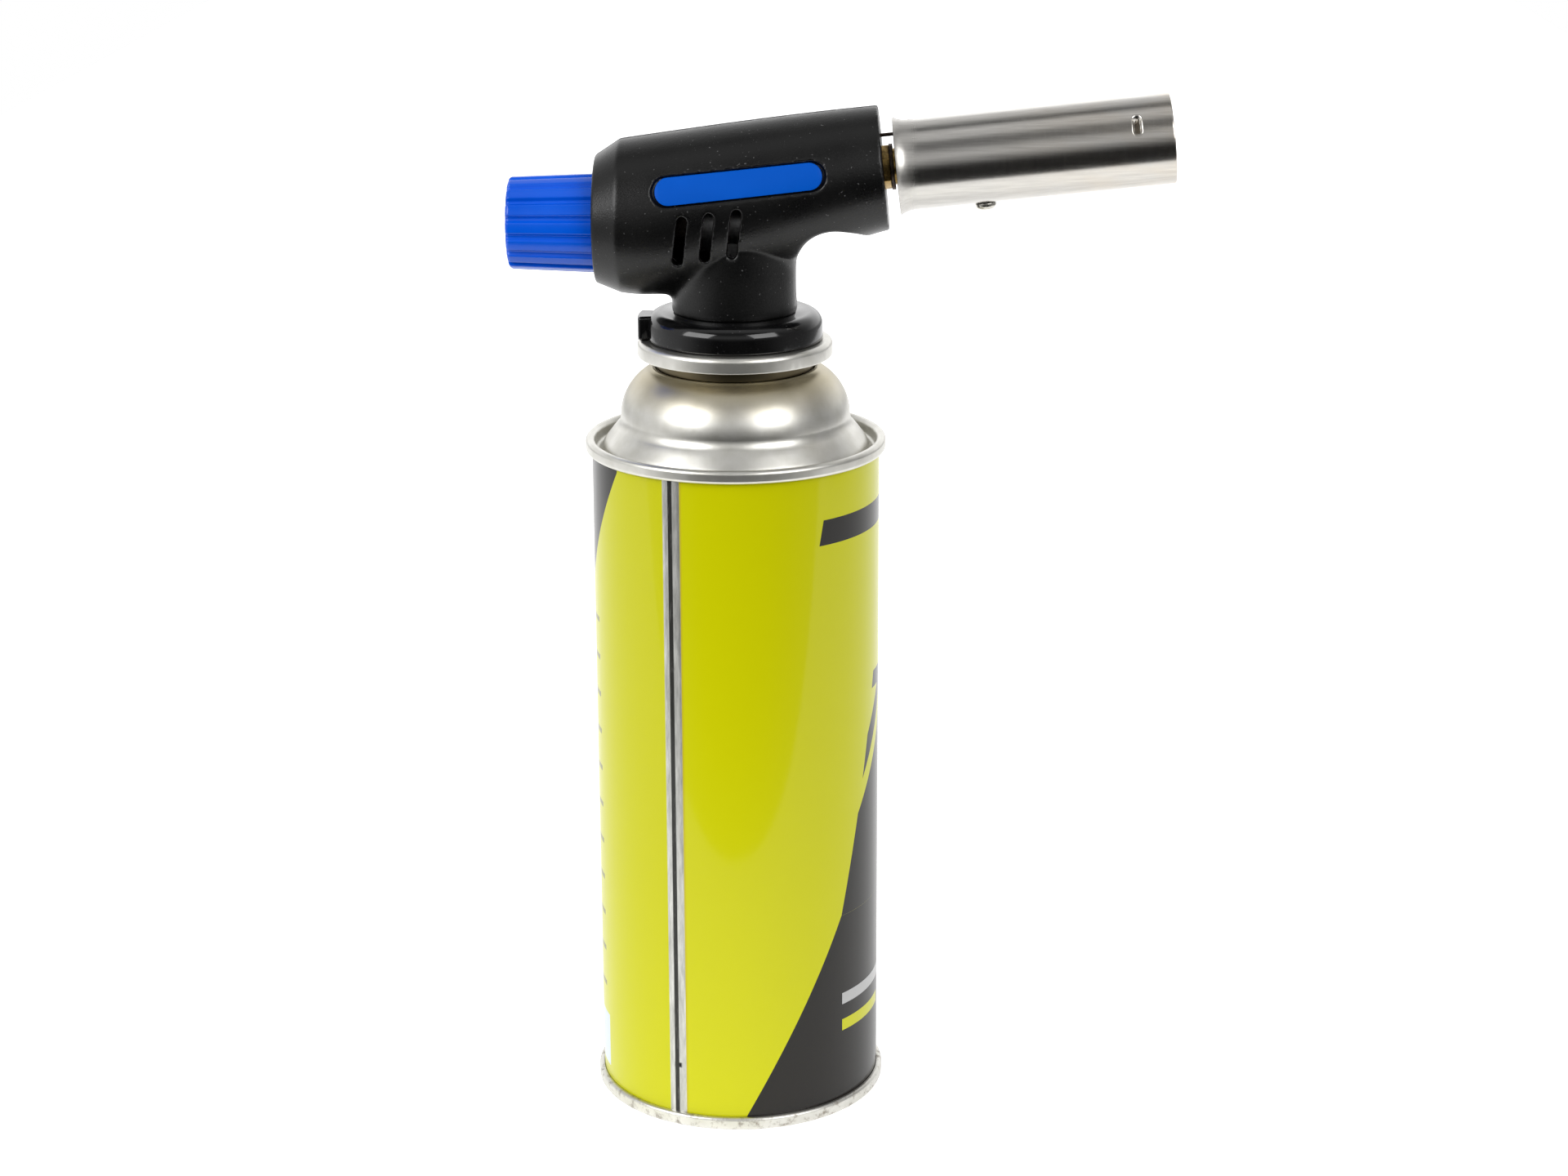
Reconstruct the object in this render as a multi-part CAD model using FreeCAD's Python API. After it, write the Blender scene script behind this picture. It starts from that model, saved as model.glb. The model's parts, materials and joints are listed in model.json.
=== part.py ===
import FreeCAD, Part
import math
import os
from FreeCAD import Placement, Rotation, Vector

# Gas torch head clipped on a butane cartridge. Millimetres, +Z up. The origin is on the
# cartridge's axis at the level it stands on, and the flame tube points towards +X.

# ---- cartridge ----
CAN_RADIUS = 32.65
CAN_WALL = 0.35
SEAM_HEIGHT = 3.0
BOTTOM_SEAM_RADIUS = 33.9
TOP_SEAM_RADIUS = 34.1
CAN_HEIGHT = 157.6
TIN = 0.4
CURL_RADIUS = 15.2
CURL_SECTION = 1.3
CURL_Z = 171.6
CUP_TIN = 0.35
PEDESTAL_RADIUS = 5.95
PEDESTAL_TOP = 174.2
COLLAR_RADIUS = 22.0
COLLAR_TOP = 180.0
COLLAR_RIM_BOTTOM = 176.4
COLLAR_TIN = 0.8
COLLAR_OPENING = 13.6
HUB_RADIUS = 17.8

# ---- can valve ----
STEM_RADIUS = 1.6
STEM_TOP = 180.2
STEM_SHOULDER = 170.0
GASKET_BOTTOM = 172.3
HOUSING_FLOOR = 161.2
TUBE_OUTER = 2.2
TUBE_BORE = 1.5

# ---- bayonet ring under the torch head ----
RING_RADIUS = 19.85
RING_BOTTOM = 180.05
RING_TOP = 186.3
LUG_COUNT = 3
LUG_SPREAD = 30.0
UNLOCK_ANGLE = 35.0
FIRST_LUG = 60.0
CLAW_INNER = 22.15
CLAW_OUTER = 22.7
CLAW_ANGLE = 165.0
CLAW_SPREAD = 8.0

# ---- casing ----
WALL = 2.0
NECK_RADIUS = 14.05
REAR_X = -30.8
SHOULDER_X = -25.2
CASING_FRONT = 33.5
NOZZLE_TILT = 6.0
NOZZLE_ROOT_Z = 215.1
KNOB_Z = 206.0
KNOB_OPENING = 11.4
ARCH_X = 22.3
ARCH_TOP = 205.9
ARCH_REAR_RADIUS = 8.2
ARCH_FRONT_RADIUS = 15.0
VENT_WIDTH = 2.2
VENT_LENGTH = 11.3
VENT_LEAN = 7.0
VENTS = ((-11.2, 204.7), (-5.3, 205.4), (0.7, 206.2))
BADGE_CENTRE = (1.7, 217.2)
BADGE_LENGTH = 36.7
BADGE_HEIGHT = 5.8
BADGE_DEPTH = 1.0
# screw bosses: X, Z and how deep the screw head's seat lies from the parting plane
BOSSES = ((-17.0, 219.0, 8.5), (19.0, 226.0, 7.0), (28.5, 209.6, 6.5), (-14.5, 196.0, 7.0), (9.0, 192.7, 6.5))
BOSS_RADIUS = 2.6
SCREW_HEAD = 2.3
SCREW_SHANK = 1.2
SCREW_REACH = 5.0

# ---- gas valve and knob ----
KNOB_REAR = -50.2
KNOB_REAR_RADIUS = 10.26
KNOB_FRONT_RADIUS = 11.03
KNOB_FRONT = -27.5
KNOB_FLANGE_RADIUS = 12.2
KNOB_FLANGE = 1.2
KNOB_RIBS = 16
HUB_REAR = -39.5
SPINDLE_RADIUS = 2.0
SEAT_X = 1.8
GLAND_X = -8.5
VALVE_RADIUS = 6.2
VALVE_FLAT_Y = 4.4
OUTLET_RADIUS = 4.6

# ---- burner, as distances along the nozzle axis from the point above the origin ----
TUBE_REAR = 36.4
TUBE_FRONT = 97.4
TUBE_RADIUS = 10.0
TUBE_WALL = 0.7
TUBE_FLARE = 10.95
FLARE_LENGTH = 3.5
BURNER_RADIUS = 4.0
HEX_FLATS = 8.5
HEAD_REAR = 50.0
HEAD_FRONT = 60.0
HEAD_RADIUS = 9.2
TUBE_SCREW_AT = 55.2
ELECTRODE_LIFT = 7.2
DIMPLE_BACK = 8.0

# ---- piezo igniter ----
PIEZO_Y = 8.1
PIEZO_Z = 209.3
PIEZO_WIDTH = 7.0
PIEZO_HEIGHT = 8.0
PIEZO_REAR = -20.5
PIEZO_FRONT = 7.5
KNOB_STROKE = 5.5

UP = Vector(0, 0, 1)
NOZZLE = Placement(Vector(0, 0, NOZZLE_ROOT_Z), Rotation(Vector(0, 1, 0), 90 - NOZZLE_TILT))
KNOB_AXIS = Placement(Vector(0, 0, KNOB_Z), Rotation(Vector(0, 1, 0), 90))


# ---- helpers ----
def save(node, shape):
    """Write one node's solids as parts/NODE.step."""
    if not shape.isValid():
        print("invalid shape", node)
    print(f"{node:20s} {len(shape.Solids)} solid(s) {shape.Volume:10.1f} mm3")
    shape.exportStep(f"parts/{node}.step")


def outline(start, steps):
    """Closed wire in the r-z plane. A pair ends a straight run; two pairs are an arc's middle and end."""
    first = Vector(start[0], 0, start[1])
    here = first
    edges = []
    for step in steps:
        if isinstance(step[0], tuple):
            middle = Vector(step[0][0], 0, step[0][1])
            end = Vector(step[1][0], 0, step[1][1])
            edges.append(Part.Arc(here, middle, end).toShape())
        else:
            end = Vector(step[0], 0, step[1])
            edges.append(Part.LineSegment(here, end).toShape())
        here = end
    if here.distanceToPoint(first) > 1e-6:
        edges.append(Part.LineSegment(here, first).toShape())
    return Part.Wire(edges)


def turned(start, *steps):
    """Solid of revolution about Z of an outline in the r-z plane."""
    return Part.Face(outline(start, steps)).revolve(Vector(0, 0, 0), UP, 360)


def put(shape, frame):
    """A copy of the shape moved from its own frame into the given one."""
    return shape.transformed(frame.toMatrix(), True)


def rod(radius, low, high):
    """Cylinder about Z between two heights."""
    return Part.makeCylinder(radius, high - low, Vector(0, 0, low), UP)


def tube(outer, inner, low, high):
    """Round tube about Z between two heights."""
    return rod(outer, low, high).cut(rod(inner, low, high))


def block(x0, x1, y0, y1, z0, z1):
    """Box given by its limits."""
    return Part.makeBox(x1 - x0, y1 - y0, z1 - z0, Vector(x0, y0, z0))


def across(radius, x, z, y0, y1):
    """Cylinder parallel to Y at the given X and Z."""
    return Part.makeCylinder(radius, y1 - y0, Vector(x, y0, z), Vector(0, 1, 0))


def join(shapes):
    """One solid from overlapping ones."""
    return shapes[0].fuse(shapes[1:]).removeSplitter()


def hexagon(flats, low, high):
    """Hexagonal prism about Z, given across its flats."""
    corner = flats / math.sqrt(3)
    points = []
    for i in range(7):
        turn = math.radians(60 * i)
        points.append(Vector(corner * math.cos(turn), corner * math.sin(turn), low))
    return Part.Face(Part.makePolygon(points)).extrude(Vector(0, 0, high - low))


def sector(inner, outer, middle, spread, low, high):
    """Part of a ring about Z, centred on an angle in degrees."""
    ring = tube(outer, inner, low, high)
    wedge = Part.makeCylinder(outer + 1, high - low, Vector(0, 0, low), UP, spread)
    wedge.rotate(Vector(0, 0, 0), UP, middle - spread / 2)
    return ring.common(wedge)


def coil(radius, wire, low, high, turns):
    """Compression spring about Z, whose wire lies between two heights."""
    length = high - low - 2 * wire
    helix = Part.makeHelix(length / turns, length, radius)
    section = Part.Wire([Part.Circle(Vector(radius, 0, 0), Vector(0, 1, 0), wire).toShape()])
    spring = Part.Wire(helix.Edges).makePipeShell([section], True, True)
    spring.translate(Vector(0, 0, low + wire))
    return spring


def pan_screw(head_radius, head_height, shank_radius, reach):
    """Screw along Z: its head stands above z = 0, its shank goes down, and the head has a cross recess."""
    dome = turned(
        (0, 0),
        (head_radius, 0),
        (head_radius, 0.45 * head_height),
        ((0.8 * head_radius, 0.86 * head_height), (0.35 * head_radius, head_height)),
        (0, head_height),
    )
    shank = turned((0, -reach), (0.3 * shank_radius, -reach), (shank_radius, 1.0 - reach), (shank_radius, 0), (0, 0))
    arm = 0.55 * head_radius
    slot = 0.14 * head_radius
    deep = 0.45 * head_height
    cross = block(-arm, arm, -slot, slot, deep, head_height).fuse(block(-slot, slot, -arm, arm, deep, head_height))
    return join([dome, shank]).cut(cross)


def lead(points, radius):
    """Round wire along straight runs joined by tangent arcs, each as large as its runs allow."""
    spots = [Vector(*p) for p in points]
    edges = []
    here = spots[0]
    for before, corner, after in zip(spots, spots[1:], spots[2:]):
        back = (before - corner).normalize()
        ahead = (after - corner).normalize()
        setback = 0.45 * min(before.distanceToPoint(corner), after.distanceToPoint(corner))
        begin = corner + back * setback
        end = corner + ahead * setback
        half_turn = (math.pi - back.getAngle(ahead)) / 2
        bend = setback / math.tan(half_turn)
        inward = (back + ahead).normalize()
        middle = corner + inward * (bend / math.cos(half_turn) - bend)
        edges.append(Part.LineSegment(here, begin).toShape())
        edges.append(Part.Arc(begin, middle, end).toShape())
        here = end
    edges.append(Part.LineSegment(here, spots[-1]).toShape())
    path = Part.Wire(edges)
    start = Part.Wire([Part.Circle(spots[0], spots[1] - spots[0], radius).toShape()])
    return path.makePipeShell([start], True, False)


# ---- cartridge ----
def can_body():
    """Rolled and welded steel wall, whose ends are held in the two seams."""
    return tube(CAN_RADIUS, CAN_RADIUS - CAN_WALL, 1.0, CAN_HEIGHT - 1.0)


def can_bottom():
    """Inward-domed end with the double seam that the cartridge stands on."""
    outer = BOTTOM_SEAM_RADIUS
    inner = CAN_RADIUS - CAN_WALL
    plug = inner - 0.8
    disc = turned(
        (0, 9.0),
        (3.0, 9.0),
        ((17.5, 7.7), (plug - 1.2, 4.2)),
        (plug - 0.6, 3.6),
        (plug, 0.7),
        ((plug + 0.2, 0.2), (plug + 0.7, 0)),
        (outer - 0.7, 0),
        ((outer - 0.2, 0.2), (outer, 0.7)),
        (outer, SEAM_HEIGHT - 0.6),
        ((outer - 0.2, SEAM_HEIGHT - 0.2), (outer - 0.6, SEAM_HEIGHT)),
        (CAN_RADIUS, SEAM_HEIGHT),
        (CAN_RADIUS, 1.0),
        (inner, 1.0),
        (inner, 4.6),
        (plug - 1.0, 4.7),
        ((17.6, 8.1), (3.0, 9.0 + TIN)),
        (0, 9.0 + TIN),
    )
    return disc


def can_dome():
    """Shouldered top with its double seam, countersink and the rolled curl of the valve opening."""
    outer = TOP_SEAM_RADIUS
    inner = CAN_RADIUS - CAN_WALL
    top = CAN_HEIGHT
    sheet = turned(
        (outer, top - SEAM_HEIGHT + 0.6),
        (outer, top - 0.7),
        ((outer - 0.2, top - 0.2), (outer - 0.7, top)),
        (32.7, top),
        ((32.2, top - 0.2), (32.0, top - 0.7)),
        (32.0, 155.3),
        ((31.7, 154.6), (31.1, 154.4)),
        (30.6, 154.4),
        ((29.7, 155.2), (29.0, 156.3)),
        (26.4, 160.0),
        ((25.55, 161.6), (25.25, 163.5)),
        (25.05, 165.6),
        ((22.6, 171.3), (18.9, 173.8)),
        ((18.3, 173.9), (17.95, 173.4)),
        (17.95, 172.5),
        ((17.75, 172.05), (17.3, 171.9)),
        (15.4, 171.9),
        (15.4, 171.5),
        (17.4, 171.5),
        ((18.1, 171.75), (18.35, 172.4)),
        (18.4, 173.4),
        (18.7, 173.4),
        ((22.3, 171.0), (24.65, 165.6)),
        (24.85, 163.45),
        ((25.15, 161.45), (26.05, 159.8)),
        (28.65, 156.1),
        ((29.35, 155.0), (30.4, 154.0)),
        (31.2, 154.0),
        (inner, 153.6),
        (inner, top - 1.0),
        (CAN_RADIUS, top - 1.0),
        (CAN_RADIUS, top - SEAM_HEIGHT),
        (outer - 0.6, top - SEAM_HEIGHT),
        ((outer - 0.2, top - SEAM_HEIGHT + 0.2), (outer, top - SEAM_HEIGHT + 0.6)),
    )
    curl = Part.makeTorus(CURL_RADIUS, CURL_SECTION, Vector(0, 0, CURL_Z), UP)
    return join([sheet, curl])


def valve_cup():
    """Pressed cup crimped over the curl, with the pedestal that holds the valve."""
    inside = CURL_SECTION + 0.01
    outside = inside + CUP_TIN
    lip = 0.4
    diagonal = math.sqrt(0.5)
    r = CURL_RADIUS
    z = CURL_Z
    wall = r - inside
    floor = 165.7
    return turned(
        (r + math.sqrt(outside**2 - lip**2), z + lip),
        ((r + outside * diagonal, z + outside * diagonal), (r, z + outside)),
        ((r - outside * diagonal, z + outside * diagonal), (r - outside, z)),
        (wall - CUP_TIN, floor + CUP_TIN + 1.2),
        (wall - CUP_TIN - 1.2, floor + CUP_TIN),
        (PEDESTAL_RADIUS + 1.0, floor + CUP_TIN),
        (PEDESTAL_RADIUS, floor + CUP_TIN + 1.0),
        (PEDESTAL_RADIUS, PEDESTAL_TOP - 0.6),
        (PEDESTAL_RADIUS - 0.6, PEDESTAL_TOP),
        (2.0, PEDESTAL_TOP),
        (2.0, GASKET_BOTTOM + 1.2),
        (PEDESTAL_RADIUS - CUP_TIN, GASKET_BOTTOM + 1.2),
        (PEDESTAL_RADIUS - CUP_TIN, floor + 0.8),
        (PEDESTAL_RADIUS + 0.8, floor),
        (wall - 1.0, floor),
        (wall, floor + 1.0),
        (wall, z),
        ((r - inside * diagonal, z + inside * diagonal), (r, z + inside)),
        ((r + inside * diagonal, z + inside * diagonal), (r + math.sqrt(inside**2 - lip**2), z + lip)),
    )


def valve_collar():
    """Flanged bayonet collar on the cup: the lugs of the torch head pass its slots and turn under its flange."""
    top = COLLAR_TOP
    under = top - COLLAR_TIN
    foot = CURL_Z + CURL_SECTION + CUP_TIN + 0.02
    outer = COLLAR_RADIUS
    ring = turned(
        (COLLAR_OPENING, under),
        (HUB_RADIUS - COLLAR_TIN, under),
        (HUB_RADIUS - COLLAR_TIN, foot + COLLAR_TIN),
        (12.8, foot + COLLAR_TIN),
        (12.8, foot),
        (HUB_RADIUS - 0.6, foot),
        ((HUB_RADIUS - 0.2, foot + 0.2), (HUB_RADIUS, foot + 0.6)),
        (HUB_RADIUS, under),
        (outer - 1.2, under),
        ((outer - 0.92, under - 0.12), (outer - COLLAR_TIN, under - 0.4)),
        (outer - COLLAR_TIN, COLLAR_RIM_BOTTOM),
        (outer - 0.15, COLLAR_RIM_BOTTOM),
        (outer, COLLAR_RIM_BOTTOM + 0.3),
        (outer, top - 1.2),
        ((outer - 0.35, top - 0.35), (outer - 1.2, top)),
        (COLLAR_OPENING, top),
    )
    slots = []
    for i in range(LUG_COUNT):
        angle = FIRST_LUG + UNLOCK_ANGLE + i * 360 / LUG_COUNT
        slots.append(sector(COLLAR_OPENING - 1, HUB_RADIUS - COLLAR_TIN, angle, LUG_SPREAD + 4, under - 0.1, top + 0.1))
    return ring.cut(slots)


def valve_stem():
    """Hollow stem that opens the cartridge's valve when the torch's inlet presses it down."""
    stem = turned(
        (0, 166.0),
        (1.2, 166.0),
        (1.5, 166.4),
        (1.5, STEM_SHOULDER),
        (2.6, STEM_SHOULDER),
        (2.6, STEM_SHOULDER + 1.3),
        (STEM_RADIUS, STEM_SHOULDER + 1.6),
        (STEM_RADIUS, STEM_TOP - 0.2),
        (STEM_RADIUS - 0.2, STEM_TOP),
        (0, STEM_TOP),
    )
    port = across(0.4, 0, STEM_SHOULDER + 2.6, -STEM_RADIUS - 1, STEM_RADIUS + 1)
    return stem.cut(rod(0.6, STEM_SHOULDER + 2.2, STEM_TOP + 1)).cut(port)


def stem_gasket():
    """Rubber ring that closes the stem's side port when the valve is shut."""
    return tube(5.2, STEM_RADIUS + 0.03, GASKET_BOTTOM, GASKET_BOTTOM + 1.2)


def stem_spring():
    """Spring that lifts the stem against the gasket."""
    return coil(2.1, 0.25, HOUSING_FLOOR + 0.05, STEM_SHOULDER - 0.02, 5)


def valve_housing():
    """Plastic cup round the spring, with the nipple for the pick-up tube."""
    return turned(
        (5.2, GASKET_BOTTOM),
        (2.9, GASKET_BOTTOM),
        (2.9, HOUSING_FLOOR),
        (0.7, HOUSING_FLOOR),
        (0.7, 154.0),
        (TUBE_BORE, 154.0),
        (TUBE_BORE, 159.0),
        (3.6, 159.8),
        (4.4, 160.6),
        (4.4, 168.0),
        (5.2, 168.8),
    )


def vapour_tube():
    """Bent pick-up tube that keeps its mouth in the vapour."""
    route = ((0, 0, 158.5), (0, 0, 148.0), (6.0, 0, 139.5), (14.5, 0, 139.0), (23.0, 0, 141.5))
    outside = lead(route, TUBE_OUTER)
    inside = lead(route, TUBE_BORE)
    return outside.cut(inside)


# ---- bayonet ring ----
def lock_ring():
    """Black ring clipped into the casing's neck, with three bayonet lugs, a thumb tab and the claw beside it."""
    disc = turned(
        (5.3, 184.3),
        (11.5, 184.3),
        (11.5, 177.0),
        (13.4, 177.0),
        (13.4, RING_BOTTOM),
        (RING_RADIUS - 0.5, RING_BOTTOM),
        (RING_RADIUS, RING_BOTTOM + 0.5),
        (RING_RADIUS, RING_TOP - 3.0),
        ((RING_RADIUS - 0.88, RING_TOP - 0.88), (RING_RADIUS - 3.0, RING_TOP)),
        (11.9, RING_TOP),
        (11.9, 187.8),
        (10.9, 187.8),
        (10.9, 189.2),
        (11.9, 189.2),
        (11.9, 189.8),
        (5.3, 189.8),
    )
    tab = block(-21.9, -17.0, -4.6, 4.6, RING_BOTTOM, 185.5)
    tab = tab.makeFillet(1.2, [e for e in tab.Edges if e.BoundBox.XMax < -21 and e.BoundBox.YLength < 0.1])
    tab = tab.cut(rod(16.0, 170, 190))
    claw = sector(CLAW_INNER, CLAW_OUTER, CLAW_ANGLE, CLAW_SPREAD, 175.2, 184.0)
    hook = sector(21.2, CLAW_OUTER, CLAW_ANGLE, CLAW_SPREAD, 175.2, 176.1)
    bridge = sector(18.0, CLAW_OUTER, CLAW_ANGLE, CLAW_SPREAD, 181.0, 184.0)
    parts = [disc, tab, claw, hook, bridge]
    for i in range(LUG_COUNT):
        parts.append(sector(12.0, 16.6, FIRST_LUG + i * 360 / LUG_COUNT, LUG_SPREAD, 177.0, 178.9))
    return join(parts)


# ---- casing ----
def section(x, z, half_width, half_height, tilt):
    """Upright oval across the casing, leaning back by the tilt."""
    centre = Vector(x, 0, z)
    up = Vector(-math.sin(math.radians(tilt)), 0, math.cos(math.radians(tilt)))
    tall = centre + up * (half_height + 0.001)
    oval = Part.Ellipse(tall, centre + Vector(0, half_width, 0), centre)
    return Part.Wire([oval.toShape()])


def barrel(inset):
    """The casing's barrel, with its whole surface moved inwards by the inset."""
    front_s = CASING_FRONT - inset
    front_x = front_s * math.cos(math.radians(NOZZLE_TILT))
    front_z = NOZZLE_ROOT_Z + front_s * math.sin(math.radians(NOZZLE_TILT))
    rear = section(REAR_X + inset, 207.0, 14.2 - inset, 14.2 - inset, 0)
    shoulder = section(SHOULDER_X, 207.75, 17.15 - inset, 17.15 - inset, 0)
    saddle = section(-12.0, 208.7, 17.0 - inset, 18.1 - inset, 1)
    waist = section(12.0, 213.75, 15.5 - inset, 16.25 - inset, 4)
    front = section(front_x, front_z, 13.8 - inset, 13.8 - inset, NOZZLE_TILT)
    cone = Part.makeLoft([rear, shoulder], True, True)
    long = Part.makeLoft([shoulder, saddle, waist, front], True, False)
    return cone.fuse(long)


def arch(grow):
    """Prism along Y that cuts the finger rest under the barrel, grown by a wall's thickness."""
    rear = ARCH_REAR_RADIUS + grow
    front = ARCH_FRONT_RADIUS + grow
    low = 185.0
    top = ARCH_TOP + grow
    middle_z = ARCH_TOP - ARCH_REAR_RADIUS
    front_z = ARCH_TOP - ARCH_FRONT_RADIUS
    end = math.radians(36)
    half = end / 2
    diagonal = math.sqrt(0.5)
    wire = outline(
        (ARCH_X - rear, low),
        (
            (ARCH_X - rear, middle_z),
            ((ARCH_X - rear * diagonal, middle_z + rear * diagonal), (ARCH_X, top)),
            (
                (ARCH_X + front * math.sin(half), front_z + front * math.cos(half)),
                (ARCH_X + front * math.sin(end), front_z + front * math.cos(end)),
            ),
            (ARCH_X + front * math.sin(end), low),
        ),
    )
    prism = Part.Face(wire).extrude(Vector(0, 60, 0))
    prism.translate(Vector(0, -30, 0))
    return prism


def pill(length, height, x, z, lean, y0, y1):
    """Round-ended bar along Y; a lean of 0 lays its length along X."""
    half = length / 2 - height / 2
    ends = (Vector(-half, 0, 0), Vector(half, 0, 0))
    bar = block(-half, half, y0, y1, -height / 2, height / 2)
    caps = [Part.makeCylinder(height / 2, y1 - y0, end + Vector(0, y0, 0), Vector(0, 1, 0)) for end in ends]
    shape = join([bar] + caps)
    shape.rotate(Vector(0, 0, 0), Vector(0, 1, 0), -lean)
    shape.translate(Vector(x, 0, z))
    return shape


def side(shape, far):
    """The half of a shape on one side of the parting plane."""
    half = block(-60, 60, 0, 60, 170, 250) if far else block(-60, 60, -60, 0, 170, 250)
    return shape.common(half)


def valve_outline(grow):
    """The valve body's outside without its bores, grown so that ribs can hold it."""
    riser = rod(5.0 + grow, 183.0, 203.0)
    chamber = put(rod(VALVE_RADIUS + grow, GLAND_X - grow, 8.0 + grow), KNOB_AXIS)
    chamber = chamber.cut(block(-60, 60, VALVE_FLAT_Y + grow, 60, 170, 250))
    outlet = put(rod(OUTLET_RADIUS + grow, -5.0 - grow, 13.0 + grow), NOZZLE)
    return join([riser, chamber, outlet])


def piezo_box(grow):
    """The igniter's outside, grown so that ribs can hold it."""
    y = PIEZO_WIDTH / 2 + grow
    z = PIEZO_HEIGHT / 2 + grow
    return block(PIEZO_REAR - grow, PIEZO_FRONT + grow, PIEZO_Y - y, PIEZO_Y + y, PIEZO_Z - z, PIEZO_Z + z)


def casing():
    """Both casing halves before they are parted: barrel, neck, ribs, bosses and openings."""
    outer = join([barrel(0), rod(NECK_RADIUS, RING_TOP, 206.0)]).cut(arch(0))
    flange_room = put(rod(KNOB_FLANGE_RADIUS + 0.4, REAR_X + WALL, -20.0), KNOB_AXIS)
    hollow = join([barrel(WALL), rod(NECK_RADIUS - WALL, RING_TOP - 1, 206.0), flange_room]).cut(arch(WALL))
    valve_rib = block(5.0, 6.5, -30, 30, 190, 230).cut(valve_outline(0.05)).cut(piezo_box(0.05))
    neck_rib = rod(NECK_RADIUS, 190.5, 192.0).cut(rod(5.05, 180, 200))
    ring_rib = tube(NECK_RADIUS, 11.0, 187.95, 189.05)
    piezo_ribs = block(-18.5, -17.0, PIEZO_Y - 3, 30, 200, 215).fuse(block(-9.5, -8.0, PIEZO_Y - 3, 30, 200, 215))
    ribs = [valve_rib, neck_rib, ring_rib, piezo_ribs.cut(piezo_box(0.05))]
    bosses = [across(BOSS_RADIUS, x, z, -30, 30) for x, z, seat in BOSSES]
    inside = ribs[0].fuse(ribs[1:] + bosses).common(hollow)
    shell = outer.cut(hollow).fuse(inside)
    cutters = [
        put(rod(KNOB_OPENING, REAR_X - 1, REAR_X + WALL + 0.5), KNOB_AXIS),
        put(rod(4.95, CASING_FRONT - WALL - 1, CASING_FRONT + 1), NOZZLE),
        put(Part.makeCylinder(0.7, 6, Vector(-ELECTRODE_LIFT, 0, CASING_FRONT - 4), UP), NOZZLE),
    ]
    for x, z in VENTS:
        cutters.append(pill(VENT_LENGTH, VENT_WIDTH, x, z, 90 - VENT_LEAN, -30, -9.0))
    for x, z, seat in BOSSES:
        cutters.append(across(SCREW_HEAD + 0.25, x, z, seat, 30))
        cutters.append(across(SCREW_SHANK + 0.2, x, z, -0.01, seat + 1))
        cutters.append(across(SCREW_SHANK + 0.02, x, z, -SCREW_REACH - 1, 0.01))
    border = 0.7
    recess = pill(BADGE_LENGTH + border + 1.0, BADGE_HEIGHT + border, *BADGE_CENTRE, NOZZLE_TILT, -30, 30)
    return shell.cut(cutters).cut(recess.cut(barrel(BADGE_DEPTH)))


def badge(far):
    """Blank coloured strip glued in the casing's recess."""
    strip = pill(BADGE_LENGTH, BADGE_HEIGHT, *BADGE_CENTRE, NOZZLE_TILT, -30, 30)
    return side(strip.common(barrel(0.3)).cut(barrel(BADGE_DEPTH)), far)


def casing_screws():
    """Self-tapping screws that hold the two halves together, driven from the far side."""
    screws = []
    for x, z, seat in BOSSES:
        frame = Placement(Vector(x, seat, z), Rotation(UP, Vector(0, 1, 0)))
        screws.append(put(pan_screw(SCREW_HEAD, 1.6, SCREW_SHANK, seat + SCREW_REACH), frame))
    return Part.makeCompound(screws)


# ---- gas path ----
def valve_body():
    """Cast body that joins the inlet, the needle seat and the outlet to the burner."""
    inlet = rod(2.6, 182.0, 189.0).fuse(rod(1.5, 189.0, KNOB_Z))
    chamber = put(rod(3.4, GLAND_X - 1, -5.0).fuse(rod(2.2, -6.0, SEAT_X)), KNOB_AXIS)
    seat = put(rod(0.8, SEAT_X - 0.5, 4.8), KNOB_AXIS)
    port = Part.makeCylinder(1.0, 9.6, Vector(4.0, 0, KNOB_Z), UP)
    outlet = put(rod(1.2, 1.5, 7.0).fuse([rod(2.2, 6.0, 10.5), rod(3.6, 10.0, 14.0)]), NOZZLE)
    return valve_outline(0).cut([inlet, chamber, seat, port, outlet])


def inlet_probe():
    """Brass inlet screwed into the riser, which presses on the cartridge's stem."""
    return turned(
        (0.8, 181.8),
        (2.6, 181.8),
        (2.6, 180.25),
        (3.9, 180.25),
        (4.3, 180.7),
        (4.3, 183.0),
        (2.6, 183.0),
        (2.6, 189.0),
        (1.3, 189.0),
        (1.3, 186.5),
        (0.8, 186.5),
    )


def inlet_seal():
    """Rubber disc between the inlet and the stem."""
    return tube(2.6, 0.7, 180.25, 181.8)


def inlet_filter():
    """Sintered plug that keeps grit out of the valve."""
    return rod(1.3, 186.5, 188.6)


def gland_nut():
    """Brass nut that guides the spindle and closes the valve chamber."""
    nut = join([hexagon(8.0, GLAND_X - 5.0, GLAND_X), rod(3.4, GLAND_X, -5.05)])
    return put(nut.cut(rod(SPINDLE_RADIUS + 0.05, -20, 0)), KNOB_AXIS)


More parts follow.
